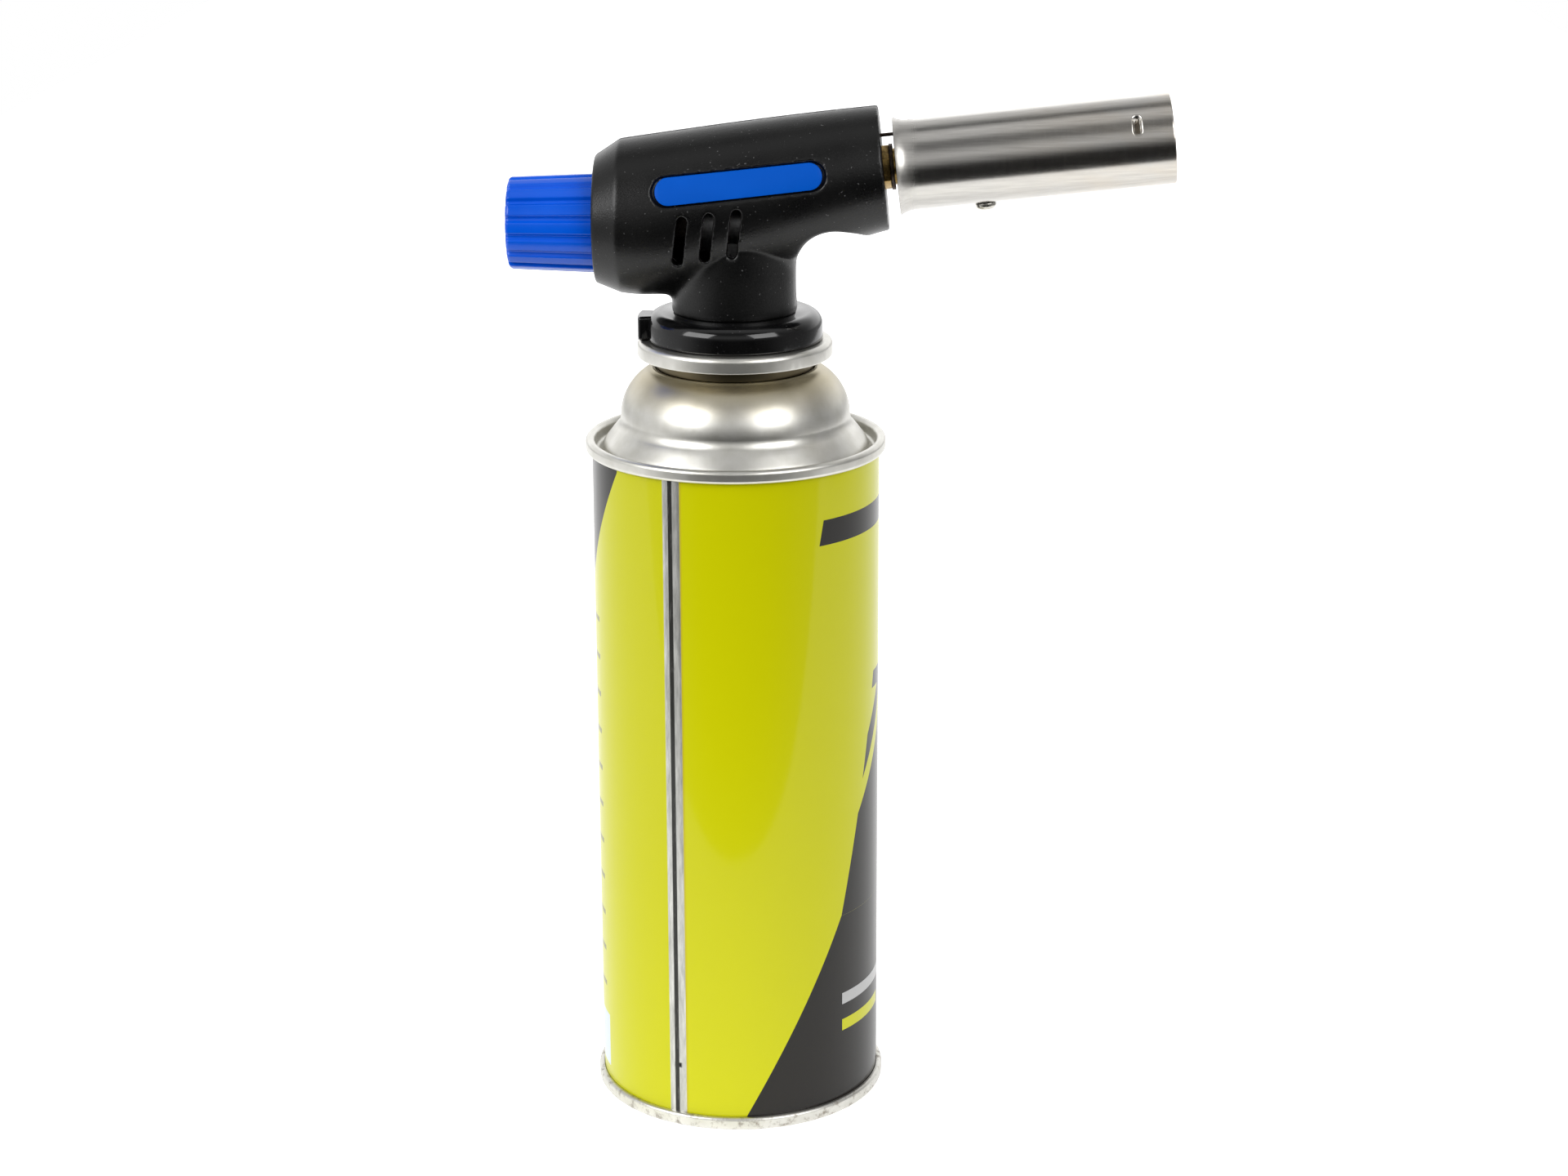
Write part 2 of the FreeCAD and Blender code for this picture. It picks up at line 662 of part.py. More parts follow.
def valve_spindle():
    """Needle spindle, with its sealing groove and the flat that drives the knob."""
    front_of_hub = KNOB_FRONT + 2.0
    body = turned(
        (0, HUB_REAR),
        (SPINDLE_RADIUS - 0.3, HUB_REAR),
        (SPINDLE_RADIUS, HUB_REAR + 0.3),
        (SPINDLE_RADIUS, -4.6),
        (1.5, -4.6),
        (1.5, -3.2),
        (SPINDLE_RADIUS, -3.2),
        (SPINDLE_RADIUS, -0.4),
        (1.68, 0.2),
        (0.34, 2.6),
        (0, 2.6),
    )
    flat = block(-5, -1.4, -5, 5, HUB_REAR - 1, front_of_hub + KNOB_STROKE + 1)
    pilot = rod(1.0, HUB_REAR - 1, HUB_REAR + 7.0)
    return put(body.cut(flat).cut(pilot), KNOB_AXIS)


def spindle_oring():
    """Seal in the spindle's groove."""
    ring = Part.makeTorus(1.85, 0.32, Vector(0, 0, -3.9), UP)
    return put(ring, KNOB_AXIS)


def knob():
    """Ribbed knob: a hollow shell, a front web with its stop flange, and a hub that slides on the spindle."""
    taper = (KNOB_FRONT_RADIUS - KNOB_REAR_RADIUS) / (REAR_X - KNOB_REAR)
    flange_front = KNOB_FRONT + KNOB_FLANGE
    shell = turned(
        (0, KNOB_REAR),
        (KNOB_REAR_RADIUS - 0.8, KNOB_REAR),
        ((KNOB_REAR_RADIUS - 0.2, KNOB_REAR + 0.2), (KNOB_REAR_RADIUS + 0.02, KNOB_REAR + 0.8)),
        (KNOB_FRONT_RADIUS, REAR_X),
        (KNOB_FRONT_RADIUS, KNOB_FRONT),
        (KNOB_FLANGE_RADIUS, KNOB_FRONT),
        (KNOB_FLANGE_RADIUS, flange_front),
        (0, flange_front),
    )
    space = tube(9.0, 4.3, KNOB_REAR - 1, KNOB_FRONT).fuse(rod(9.0, KNOB_REAR - 1, HUB_REAR))
    shell = shell.cut(space)
    grooves = []
    depth_centre = KNOB_REAR_RADIUS + 0.35
    lean = math.degrees(math.atan(taper))
    for i in range(KNOB_RIBS):
        groove = rod(0.95, -1.5, 21.5)
        groove.rotate(Vector(0, 0, 0), Vector(0, 1, 0), lean)
        groove.translate(Vector(depth_centre, 0, KNOB_REAR))
        groove.rotate(Vector(0, 0, 0), UP, (i + 0.5) * 360 / KNOB_RIBS)
        grooves.append(groove)
    shell = shell.cut(grooves)
    bore = rod(SPINDLE_RADIUS + 0.05, HUB_REAR - 1, flange_front + 1)
    bore = bore.cut(block(-5, -1.45, -5, 5, HUB_REAR - 2, flange_front + 2))
    return put(shell.cut(bore), KNOB_AXIS)


def knob_cap():
    """Disc that closes the knob's rear, with a raised plus and minus for the flow."""
    plate = turned(
        (0, KNOB_REAR + 0.3),
        (8.3, KNOB_REAR + 0.3),
        (8.95, KNOB_REAR + 0.8),
        (8.95, KNOB_REAR + 1.8),
        (0, KNOB_REAR + 1.8),
    )
    low = KNOB_REAR + 0.05
    high = KNOB_REAR + 0.5
    plus = block(-0.35, 0.35, 3.4, 6.4, low, high).fuse(block(-1.5, 1.5, 4.55, 5.25, low, high))
    minus = block(-1.5, 1.5, -5.25, -4.55, low, high)
    return put(join([plate, plus, minus]), KNOB_AXIS)


def knob_screw():
    """Screw and washer in the spindle's end that keep the knob on it."""
    washer = rod(3.6, HUB_REAR - 0.8, HUB_REAR)
    head = rod(2.4, HUB_REAR - 2.8, HUB_REAR - 0.8)
    shank = rod(1.0, HUB_REAR - 0.8, HUB_REAR + 6.0)
    slot = block(-3, 3, -0.35, 0.35, HUB_REAR - 3, HUB_REAR - 2.0)
    return put(join([washer, head, shank]).cut(slot), KNOB_AXIS)


def knob_spring():
    """Spring between the gland nut and the knob, which brings the pushed knob back."""
    return put(coil(2.6, 0.25, KNOB_FRONT + KNOB_FLANGE + 0.02, GLAND_X - 5.02, 7), KNOB_AXIS)


# ---- burner ----
def gas_jet():
    """Brass jet in the valve body's outlet."""
    jet = join([rod(2.2, 6.5, 10.0), hexagon(5.0, 10.0, 12.5), rod(1.5, 12.5, 16.0)])
    bore = rod(0.9, 6, 15.0).fuse(rod(0.2, 14, 17))
    return put(jet.cut(bore), NOZZLE)


def burner_tube():
    """Brass mixing tube with its air holes and the hexagon seen in front of the casing."""
    outside = join([rod(3.6, 10.6, 13.0), rod(BURNER_RADIUS, 13.0, HEAD_REAR), hexagon(HEX_FLATS, 31.0, 35.0)])
    bore = rod(3.0, 10, 51)
    holes = []
    for i in range(4):
        hole = Part.makeCylinder(1.3, 6, Vector(0, 0, 20.0), Vector(1, 0, 0))
        hole.rotate(Vector(0, 0, 0), UP, 45 + 90 * i)
        holes.append(hole)
    return put(outside.cut([bore] + holes), NOZZLE)


def rear_disc():
    """Thin locking disc against the hexagon."""
    return put(tube(5.1, BURNER_RADIUS + 0.02, 35.0, 35.8), NOZZLE)


def burner_head():
    """Burner head that carries the flame tube, with ports for air and the igniter's insulator."""
    body = join([rod(5.4, HEAD_REAR - 5, HEAD_REAR), rod(HEAD_RADIUS, HEAD_REAR, HEAD_FRONT)])
    cutters = [rod(BURNER_RADIUS + 0.02, HEAD_REAR - 6, HEAD_REAR), rod(3.0, HEAD_REAR - 1, HEAD_FRONT + 1)]
    for i in range(8):
        hole = rod(1.2, HEAD_REAR - 1, HEAD_FRONT + 1) if i else rod(1.43, HEAD_REAR - 1, HEAD_FRONT + 1)
        hole.translate(Vector(-ELECTRODE_LIFT + 0.1, 0, 0) if i else Vector(-ELECTRODE_LIFT, 0, 0))
        hole.rotate(Vector(0, 0, 0), UP, 45 * i)
        if i != 4:
            cutters.append(hole)
    screw_hole = Part.makeCylinder(SCREW_SHANK + 0.02, 5, Vector(5.0, 0, TUBE_SCREW_AT), Vector(1, 0, 0))
    dish = turned((0, HEAD_FRONT - 1.5), (5.6, HEAD_FRONT - 1.5), (5.6, HEAD_FRONT + 1), (0, HEAD_FRONT + 1))
    return put(body.cut(cutters + [screw_hole, dish]), NOZZLE)


def flame_disc():
    """Perforated disc pressed in the burner head's dish."""
    plate = rod(5.55, HEAD_FRONT - 1.5, HEAD_FRONT - 0.3)
    holes = [rod(0.9, HEAD_FRONT - 2, HEAD_FRONT + 1)]
    for ring, count in ((2.2, 6), (4.2, 12)):
        for i in range(count):
            turn = math.radians(i * 360 / count)
            hole = rod(0.55, HEAD_FRONT - 2, HEAD_FRONT + 1)
            hole.translate(Vector(ring * math.cos(turn), ring * math.sin(turn), 0))
            holes.append(hole)
    return put(plate.cut(holes), NOZZLE)


def flame_tube():
    """Stainless tube with a flared rear rim, a screw hole and three pressed slots near its mouth."""
    inner = TUBE_RADIUS - TUBE_WALL
    flare_in = TUBE_FLARE - TUBE_WALL
    flare_end = TUBE_REAR + FLARE_LENGTH
    sweep = TUBE_REAR + 0.35 * FLARE_LENGTH
    wall = turned(
        (TUBE_FLARE, TUBE_REAR),
        ((TUBE_RADIUS + 0.28, sweep + 0.2), (TUBE_RADIUS, flare_end)),
        (TUBE_RADIUS, TUBE_FRONT - 0.15),
        (TUBE_RADIUS - 0.15, TUBE_FRONT),
        (inner, TUBE_FRONT),
        (inner, flare_end),
        ((inner + 0.28, sweep + 0.2), (flare_in, TUBE_REAR)),
    )
    hole = Part.makeCylinder(SCREW_SHANK + 0.1, 6, Vector(7.0, 0, TUBE_SCREW_AT), Vector(1, 0, 0))
    marks = []
    for i in range(3):
        mark = pill(4.0, 1.6, 0, 0, 0, TUBE_RADIUS - 2, TUBE_RADIUS + 2)
        mark.translate(Vector(0, 0, TUBE_FRONT - DIMPLE_BACK))
        mark.rotate(Vector(0, 0, 0), UP, 150 + 120 * i)
        marks.append(mark)
    return put(wall.cut([hole] + marks), NOZZLE)


def tube_screw():
    """Screw that fixes the flame tube to the burner head from below."""
    frame = Placement(Vector(TUBE_RADIUS, 0, TUBE_SCREW_AT), Rotation(UP, Vector(1, 0, 0)))
    return put(put(pan_screw(2.35, 1.5, SCREW_SHANK, 4.5), frame), NOZZLE)


# ---- ignition ----
def electrode_rod():
    """Steel electrode from the casing through the tube to the burner's face, bent towards the flame."""
    route = ((-7.2, 0, 27.0), (-7.2, 0, 64.5), (-4.2, 0, 66.5))
    return put(lead(route, 0.4), NOZZLE)


def electrode_insulator():
    """Ceramic tube that keeps the electrode off the burner head."""
    sleeve = tube(1.4, 0.42, HEAD_REAR - 5, HEAD_FRONT + 2)
    sleeve.translate(Vector(-ELECTRODE_LIFT, 0, 0))
    return put(sleeve, NOZZLE)


def hv_lead():
    """Insulated lead from the igniter to the electrode."""
    end = NOZZLE.multVec(Vector(-ELECTRODE_LIFT, 0, 26.95))
    before = NOZZLE.multVec(Vector(-ELECTRODE_LIFT, 0, 24.0))
    route = (
        (PIEZO_FRONT + 0.02, PIEZO_Y, PIEZO_Z),
        (11.0, PIEZO_Y, PIEZO_Z),
        (15.0, 9.4, 212.5),
        (19.0, 8.6, 217.0),
        (22.5, 5.5, 221.0),
        tuple(before),
        tuple(end),
    )
    return lead(route, 0.65)


def piezo_housing():
    """Moulded igniter case with its bore for the plunger, spring, hammer and element."""
    half_y = PIEZO_WIDTH / 2 - 0.9
    half_z = PIEZO_HEIGHT / 2 - 0.9
    bore = block(PIEZO_REAR - 1, 4.6, PIEZO_Y - half_y, PIEZO_Y + half_y, PIEZO_Z - half_z, PIEZO_Z + half_z)
    contact = Part.makeCylinder(0.65, 5, Vector(4, PIEZO_Y, PIEZO_Z), Vector(1, 0, 0))
    return piezo_box(0).cut(bore).cut(contact)


def piezo_slider(x0, x1, half_y, half_z):
    """Block that slides in the igniter's bore."""
    return block(x0, x1, PIEZO_Y - half_y, PIEZO_Y + half_y, PIEZO_Z - half_z, PIEZO_Z + half_z)


def piezo_plunger():
    """Plunger that the knob pushes, with its rounded nose."""
    body = piezo_slider(-24.0, -16.0, 2.55, 3.05)
    nose = Part.makeCylinder(2.2, 3.0, Vector(-26.25, PIEZO_Y, PIEZO_Z), Vector(1, 0, 0))
    return join([body, nose])


def piezo_spring():
    """Spring between the plunger and the hammer."""
    frame = Placement(Vector(0, PIEZO_Y, PIEZO_Z), Rotation(Vector(0, 1, 0), 90))
    return put(coil(1.7, 0.22, -15.95, -6.55, 7), frame)


def piezo_hammer():
    """Steel hammer that strikes the anvil."""
    return piezo_slider(-6.5, -2.0, 2.5, 3.0)


def piezo_anvil():
    """Steel anvil that carries the blow to the element."""
    return Part.makeCylinder(2.0, 1.2, Vector(-0.4, PIEZO_Y, PIEZO_Z), Vector(1, 0, 0))


def piezo_element():
    """Ceramic rod that makes the spark's voltage."""
    return Part.makeCylinder(1.6, 3.7, Vector(0.85, PIEZO_Y, PIEZO_Z), Vector(1, 0, 0))


os.makedirs("parts", exist_ok=True)

for make in (
    can_body,
    can_bottom,
    can_dome,
    valve_cup,
    valve_collar,
    valve_stem,
    stem_gasket,
    stem_spring,
    valve_housing,
    vapour_tube,
    lock_ring,
    casing_screws,
    valve_body,
    inlet_probe,
    inlet_seal,
    inlet_filter,
    gland_nut,
    valve_spindle,
    spindle_oring,
    knob,
    knob_cap,
    knob_screw,
    knob_spring,
    gas_jet,
    burner_tube,
    rear_disc,
    burner_head,
    flame_disc,
    flame_tube,
    tube_screw,
    electrode_rod,
    electrode_insulator,
    hv_lead,
    piezo_housing,
    piezo_plunger,
    piezo_spring,
    piezo_hammer,
    piezo_anvil,
    piezo_element,
):
    save(make.__name__, make())

whole_casing = casing()
save("casing_left", side(whole_casing, False))
save("casing_right", side(whole_casing, True))
save("badge_left", badge(False))
save("badge_right", badge(True))
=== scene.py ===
"""Looks of the gas torch on its butane cartridge.

Lengths are in millimetres on the frame's axes until the mesh helpers turn them into metres: the flame points
along +X, the camera looks along +Y and the can stands on Z = 0.
"""
import json
import math

import bmesh
import bpy
import numpy as np
from mathutils import Euler, Matrix, Vector
from mathutils.bvhtree import BVHTree

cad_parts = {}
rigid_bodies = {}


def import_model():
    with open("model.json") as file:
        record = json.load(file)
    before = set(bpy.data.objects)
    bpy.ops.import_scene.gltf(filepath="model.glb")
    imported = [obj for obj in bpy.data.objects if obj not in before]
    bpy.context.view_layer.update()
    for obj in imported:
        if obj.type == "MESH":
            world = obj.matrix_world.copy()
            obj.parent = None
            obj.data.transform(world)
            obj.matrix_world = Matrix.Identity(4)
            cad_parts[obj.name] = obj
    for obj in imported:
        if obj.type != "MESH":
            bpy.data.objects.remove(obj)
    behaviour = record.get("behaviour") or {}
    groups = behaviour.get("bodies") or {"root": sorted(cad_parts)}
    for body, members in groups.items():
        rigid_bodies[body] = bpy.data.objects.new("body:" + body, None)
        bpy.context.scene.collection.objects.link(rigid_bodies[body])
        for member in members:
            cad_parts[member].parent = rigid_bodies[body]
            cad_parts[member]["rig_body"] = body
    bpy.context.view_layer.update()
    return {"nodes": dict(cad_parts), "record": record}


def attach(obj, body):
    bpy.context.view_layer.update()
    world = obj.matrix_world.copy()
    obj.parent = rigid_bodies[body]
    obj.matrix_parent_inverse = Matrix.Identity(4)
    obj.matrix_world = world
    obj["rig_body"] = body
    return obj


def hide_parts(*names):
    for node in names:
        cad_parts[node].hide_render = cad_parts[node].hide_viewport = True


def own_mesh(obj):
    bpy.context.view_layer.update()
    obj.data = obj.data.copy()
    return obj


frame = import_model()
NODES = frame["nodes"]
MM = 0.001

# ---- sizes that the pieces share ----
CAN_RADIUS = 32.65
CAN_WALL = 0.35
SEAM_HEIGHT = 3.0
BOTTOM_SEAM_RADIUS = 33.9
TOP_SEAM_RADIUS = 34.1
CAN_HEIGHT = 157.6
RING_RADIUS = 19.85
RING_BOTTOM = 180.05
RING_TOP = 186.3
KNOB_Z = 206.0
KNOB_REAR = -50.2
KNOB_FRONT = -27.5
HUB_REAR = -39.48
CASING_REAR = -30.8
NOZZLE_TILT = 6.0
NOZZLE_ROOT_Z = 215.1
TUBE_REAR = 36.4
TUBE_FRONT = 97.4
TUBE_RADIUS = 10.0
TUBE_WALL = 0.7
TUBE_FLARE = 10.95
FLARE_LENGTH = 3.5
SLOT_BACK = 8.0
NECK_RADIUS = 14.05

# wells of the casing screws in the far half: X, Z and the Y of the screw head's seat
SCREW_WELLS = (
    (-17.0, 219.0, 8.5),
    (19.0, 226.0, 7.0),
    (28.5, 209.6, 6.5),
    (-14.5, 196.0, 7.0),
    (9.0, 192.7, 6.5),
)
WELL_BORE = 2.6
WELL_OUTER = 3.5
# how far a well's wall goes below its seat, least height over the seat, and gap left to the casing's skin
WELL_FOOT = 0.6
WELL_RISE = 0.3
WELL_SKIN = 0.5

# where the can's long weld runs, in degrees round from the side that faces -Y
WELD_START = -27.0
WELD_END = -19.7
WELD_LINE = -23.7

KNOB_AXIS = Matrix.Translation((0, 0, KNOB_Z)) @ Matrix.Rotation(math.radians(90), 4, "Y")
NOZZLE = Matrix.Translation((0, 0, NOZZLE_ROOT_Z)) @ Matrix.Rotation(math.radians(90 - NOZZLE_TILT), 4, "Y")


# ---- material graphs ----
class Graph:
    """A material's node tree, with a short call for each kind of node it uses."""

    def __init__(self, name):
        self.material = bpy.data.materials.new(name)
        self.material.use_nodes = True
        self.tree = self.material.node_tree
        self.shader = self.tree.nodes["Principled BSDF"]
        self.place = self.add("ShaderNodeTexCoord").outputs["Object"]

    def add(self, kind):
        return self.tree.nodes.new(kind)

    def feed(self, socket, value):
        if isinstance(value, bpy.types.NodeSocket):
            self.tree.links.new(value, socket)
        elif isinstance(value, tuple) and len(value) == 3 and socket.type == "RGBA":
            socket.default_value = (*value, 1.0)
        else:
            socket.default_value = value

    def surface(self, **values):
        for name, value in values.items():
            self.feed(self.shader.inputs[name.replace("_", " ")], value)

    def math(self, operation, *values):
        node = self.add("ShaderNodeMath")
        node.operation = operation
        for socket, value in zip(node.inputs, values):
            self.feed(socket, value)
        return node.outputs[0]

    def scaled(self, factors):
        """The object's coordinates multiplied along each axis, per millimetre."""
        node = self.add("ShaderNodeVectorMath")
        node.operation = "MULTIPLY"
        self.feed(node.inputs[0], self.place)
        node.inputs[1].default_value = [factor / MM for factor in factors]
        return node.outputs[0]

    def noise(self, per_mm, detail, roughness=0.5):
        """Noise between 0 and 1. per_mm is its frequency along each axis."""
        factors = per_mm if isinstance(per_mm, tuple) else (per_mm,) * 3
        node = self.add("ShaderNodeTexNoise")
        self.feed(node.inputs["Vector"], self.scaled(factors))
        node.inputs["Scale"].default_value = 1.0
        node.inputs["Detail"].default_value = detail
        node.inputs["Roughness"].default_value = roughness
        return node.outputs["Fac"]

    def remap(self, value, low, high, to_low=0.0, to_high=1.0):
        node = self.add("ShaderNodeMapRange")
        for socket, item in zip(node.inputs, (value, low, high, to_low, to_high)):
            self.feed(socket, item)
        return node.outputs["Result"]

    def mix(self, factor, first, second):
        node = self.add("ShaderNodeMix")
        node.data_type = "RGBA"
        self.feed(node.inputs[0], factor)
        self.feed(node.inputs[6], first)
        self.feed(node.inputs[7], second)
        return node.outputs[2]

    def bump(self, height, depth, strength=1.0):
        """Bump of a height between 0 and 1 that stands for a depth in millimetres."""
        node = self.add("ShaderNodeBump")
        node.inputs["Strength"].default_value = strength
        node.inputs["Distance"].default_value = depth * MM
        self.feed(node.inputs["Height"], height)
        self.feed(self.shader.inputs["Normal"], node.outputs["Normal"])

    def axes(self):
        """The object's X, Y and Z in millimetres."""
        node = self.add("ShaderNodeSeparateXYZ")
        self.feed(node.inputs[0], self.scaled((1, 1, 1)))
        return node.outputs

    def round_can(self):
        """Degrees round the can from the side facing -Y, and the height, for patterns on its wall."""
        x, y, z = self.axes()
        angle = self.math("ARCTAN2", x, self.math("MULTIPLY", y, -1.0))
        return self.math("MULTIPLY", angle, 180 / math.pi), z

    def above(self, value, limit, softness=0.02):
        """1 where the value is over the limit, with a thin soft edge."""
        gap = self.math("SUBTRACT", value, limit)
        return self.remap(gap, -softness, softness)

    def both(self, *masks):
        result = masks[0]
        for mask in masks[1:]:
            result = self.math("MULTIPLY", result, mask)
        return result

    def either(self, first, second):
        return self.math("MAXIMUM", first, second)

    def flip(self, mask):
        return self.math("SUBTRACT", 1.0, mask)

    def below(self, value, limit, softness=0.02):
        return self.flip(self.above(value, limit, softness))

    def between(self, value, low, high, softness=0.02):
        return self.both(self.above(value, low, softness), self.below(value, high, softness))

    def line(self, value, slope, start):
        """A straight line over a value."""
        return self.math("ADD", self.math("MULTIPLY", value, slope), start)


def tinplate(name, top_tint_and_reflection=0.0, stained=False, hub_shade=False):
    """Satin tinned steel: a soft mottle and fine drawing lines.

    Its options: a warm tint, darker towards the top of the dome, partly the tin's own tint and partly a
    painted reflection of the collar; tarnish stains; and painted shade on the collar's foot, under its rim.
    """
    g = Graph(name)
    mottle = g.noise(0.25, detail=5)
    grain = g.noise((6.0, 6.0, 1.5), detail=4)
    base = g.mix(g.remap(mottle, 0.3, 0.7), (0.60, 0.59, 0.54), (0.70, 0.69, 0.65))
    rough = g.remap(grain, 0.2, 0.8, 0.32, 0.42)
    if stained:
        spots = g.remap(g.noise(0.55, detail=6, roughness=0.7), 0.52, 0.72)
        base = g.mix(g.math("MULTIPLY", spots, 0.75), base, (0.13, 0.09, 0.05))
        rough = g.math("ADD", rough, g.math("MULTIPLY", spots, 0.25))
    # warm tint, darker towards the top of the dome: partly the tin's own tint, partly a painted reflection
    # of the collar above it
    if top_tint_and_reflection:
        z = g.axes()[2]
        base = g.mix(g.remap(z, 166.0, 172.0, 0.0, top_tint_and_reflection), base, (0.40, 0.34, 0.20))
    # painted shade: the collar's foot under its rim, darkened as if the rim shaded it
    if hub_shade:
        x, y, z = g.axes()
        reach = g.math("ADD", g.math("MULTIPLY", x, x), g.math("MULTIPLY", y, y))
        shaded = g.both(g.below(reach, 20.0 ** 2, 1.0), g.below(z, 178.0, 0.5))
        base = g.mix(shaded, base, (0.15, 0.125, 0.075))
    g.surface(Base_Color=base, Metallic=1.0, Roughness=rough)
    g.bump(grain, 0.006, 0.5)
    return g.material


def can_print():
    """Printed wall: a yellow-green field, dark facets, plain strokes and the bare weld."""
    g = Graph("can_print")
    angle, z = g.round_can()
    lime = (0.515, 0.515, 0.0)
    dark = (0.014, 0.0125, 0.011)
    tint = g.noise(0.02, detail=2)
    colour = g.mix(g.remap(tint, 0.3, 0.7, 0.0, 0.25), lime, (0.535, 0.53, 0.0))
    waist, facet_top = 48.7, 104.0
    foot = g.below(z, g.line(angle, 1.048, -2.5), 0.05)
    foot = g.both(foot, g.below(z, waist))
    flank = g.below(z, g.line(angle, 2.1, -54.0), 0.1)
    flank = g.both(flank, g.above(z, waist), g.below(z, facet_top))
    far = g.both(g.above(angle, 80.0), g.below(z, facet_top))
    corner = g.both(g.above(z, g.line(angle, 0.952, 202.5), 0.05), g.below(angle, -51.3))
    dark_mask = g.either(g.either(foot, flank), g.either(far, corner))
    # two slanting stripes of the field's colour across the flank's facet
    slant = g.math("SUBTRACT", z, g.math("MULTIPLY", angle, 0.75))
    for low, high in ((27.0, 32.0), (38.5, 45.0)):
        stripe = g.both(
            g.between(slant, low, high, 0.05),
            g.above(angle, 55.0),
            g.below(angle, 122.0),
            g.above(z, 58.0),
            g.below(z, 100.0),
        )
        dark_mask = g.both(dark_mask, g.flip(stripe))
    lean = g.math("SUBTRACT", angle, g.math("MULTIPLY", z, 0.35))
    bar = g.both(g.between(z, 138.6, 144.4), g.above(lean, -11.5), g.below(angle, 118.0))
    dark_mask = g.either(dark_mask, bar)
    colour = g.mix(dark_mask, colour, dark)
    # plain strokes on the foot's facet: heights, angles, shade
    strokes = (
        (26.4, 29.2, 49.5, 96.0, (0.42, 0.42, 0.42)),
        (19.8, 22.6, 49.5, 84.0, lime),
    )
    for low, high, start, end, shade in strokes:
        stroke = g.both(g.between(z, low, high), g.between(angle, start, end))
        colour = g.mix(stroke, colour, shade)
    # pale panel and ruled lines on the side turned away
    panel = g.both(g.between(z, 6.0, 19.0), g.between(angle, -112.0, -68.0))
    colour = g.mix(panel, colour, (0.55, 0.62, 0.70))
    rows = g.math("FRACT", g.math("DIVIDE", z, 9.0))
    lines = g.both(g.above(rows, 0.86), g.between(angle, -118.0, -71.5), g.between(z, 22.0, 118.0))
    colour = g.mix(g.math("MULTIPLY", lines, 0.7), colour, dark)
    # bare weld: brushed steel, a dark groove, a brown printed edge and one nick
    weld = g.between(angle, WELD_START, WELD_END, 0.12)
    groove = g.between(angle, WELD_LINE - 0.95, WELD_LINE + 0.95, 0.15)
    edge = g.between(angle, WELD_END - 0.1, WELD_END + 0.75, 0.25)
    scuff = g.noise((1.2, 1.2, 0.15), detail=6, roughness=0.7)
    metal = g.mix(g.remap(scuff, 0.3, 0.7), (0.34, 0.34, 0.32), (0.66, 0.66, 0.63))
    colour = g.mix(g.math("MULTIPLY", edge, 0.55), colour, (0.45, 0.33, 0.02))
    colour = g.mix(weld, colour, metal)
    groove_shade = g.both(groove, g.remap(scuff, 0.25, 0.45, 0.75, 1.0))
    colour = g.mix(groove_shade, colour, (0.02, 0.02, 0.018))
    nick = g.both(g.between(z, 14.2, 15.4, 0.2), g.between(angle, -24.6, -21.6, 0.4))
    colour = g.mix(nick, colour, (0.02, 0.02, 0.02))
    bare = g.both(weld, g.flip(groove))
    ripple = g.noise((0.06, 0.06, 0.03), detail=2)
    g.surface(
        Base_Color=colour,
        Metallic=g.math("MULTIPLY", bare, 0.9),
        Roughness=g.remap(bare, 0.0, 1.0, 0.30, 0.38),
        Specular_IOR_Level=0.1,
        Coat_Weight=g.math("MULTIPLY", g.flip(bare), 0.38),
        Coat_Roughness=0.07,
        Coat_IOR=1.45,
    )
    bare_grain = g.math("MULTIPLY", bare, g.math("MULTIPLY", scuff, 0.05))
    g.bump(g.math("ADD", ripple, bare_grain), 0.10, 0.35)
    return g.material


def moulded(name, colour, worn, roughness, grain_per_mm, grain_depth, speck=0.0, level=0.5):
    """Moulded plastic: a shade that drifts a little, a fine spark-eroded grain and a few dust specks."""
    g = Graph(name)
    drift = g.noise(0.08, detail=4)
    grain = g.noise(grain_per_mm, detail=3, roughness=0.6)
    base = g.mix(g.remap(drift, 0.35, 0.7), colour, worn)
    if speck:
        dust = g.remap(g.noise(1.7, detail=2, roughness=0.4), 0.71, 0.76, 0.0, speck)
        base = g.mix(dust, base, (0.25, 0.25, 0.25))
    slow = g.remap(drift, 0.2, 0.8, -0.05, 0.06)
    fine = g.remap(grain, 0.2, 0.8, roughness - 0.04, roughness + 0.04)
    rough = g.math("ADD", slow, fine)
    g.surface(Base_Color=base, Roughness=rough, Specular_IOR_Level=level)
    g.bump(grain, grain_depth, 0.6)
    return g.material


def stainless():
    """Drawn stainless tube: long streaks, rings of scratches, a duller flare and a straw-tinted mouth."""
    g = Graph("stainless_tube")
    x = g.axes()[0]
    long_streaks = g.noise((0.05, 1.6, 1.6), detail=5, roughness=0.6)
    rings = g.noise((7.0, 0.12, 0.12), detail=4, roughness=0.7)
    blotch = g.noise((0.06, 0.12, 0.12), detail=3)
    base = g.mix(g.remap(long_streaks, 0.3, 0.7), (0.50, 0.485, 0.46), (0.62, 0.605, 0.575))
    straw = g.both(g.remap(x, 55.0, 97.0), g.remap(blotch, 0.35, 0.7))
    base = g.mix(g.math("MULTIPLY", straw, 0.35), base, (0.66, 0.50, 0.30))
    ring_rough = g.remap(rings, 0.25, 0.75, 0.15, 0.25)
    streak_rough = g.remap(long_streaks, 0.2, 0.8, -0.02, 0.03)
    flare_rough = g.remap(x, 38.5, 41.0, 0.14, 0.0)
    rough = g.math("ADD", g.math("ADD", ring_rough, streak_rough), flare_rough)
    g.surface(Base_Color=base, Metallic=1.0, Roughness=rough)
    g.bump(g.math("ADD", rings, g.math("MULTIPLY", long_streaks, 0.6)), 0.004, 0.5)
    return g.material


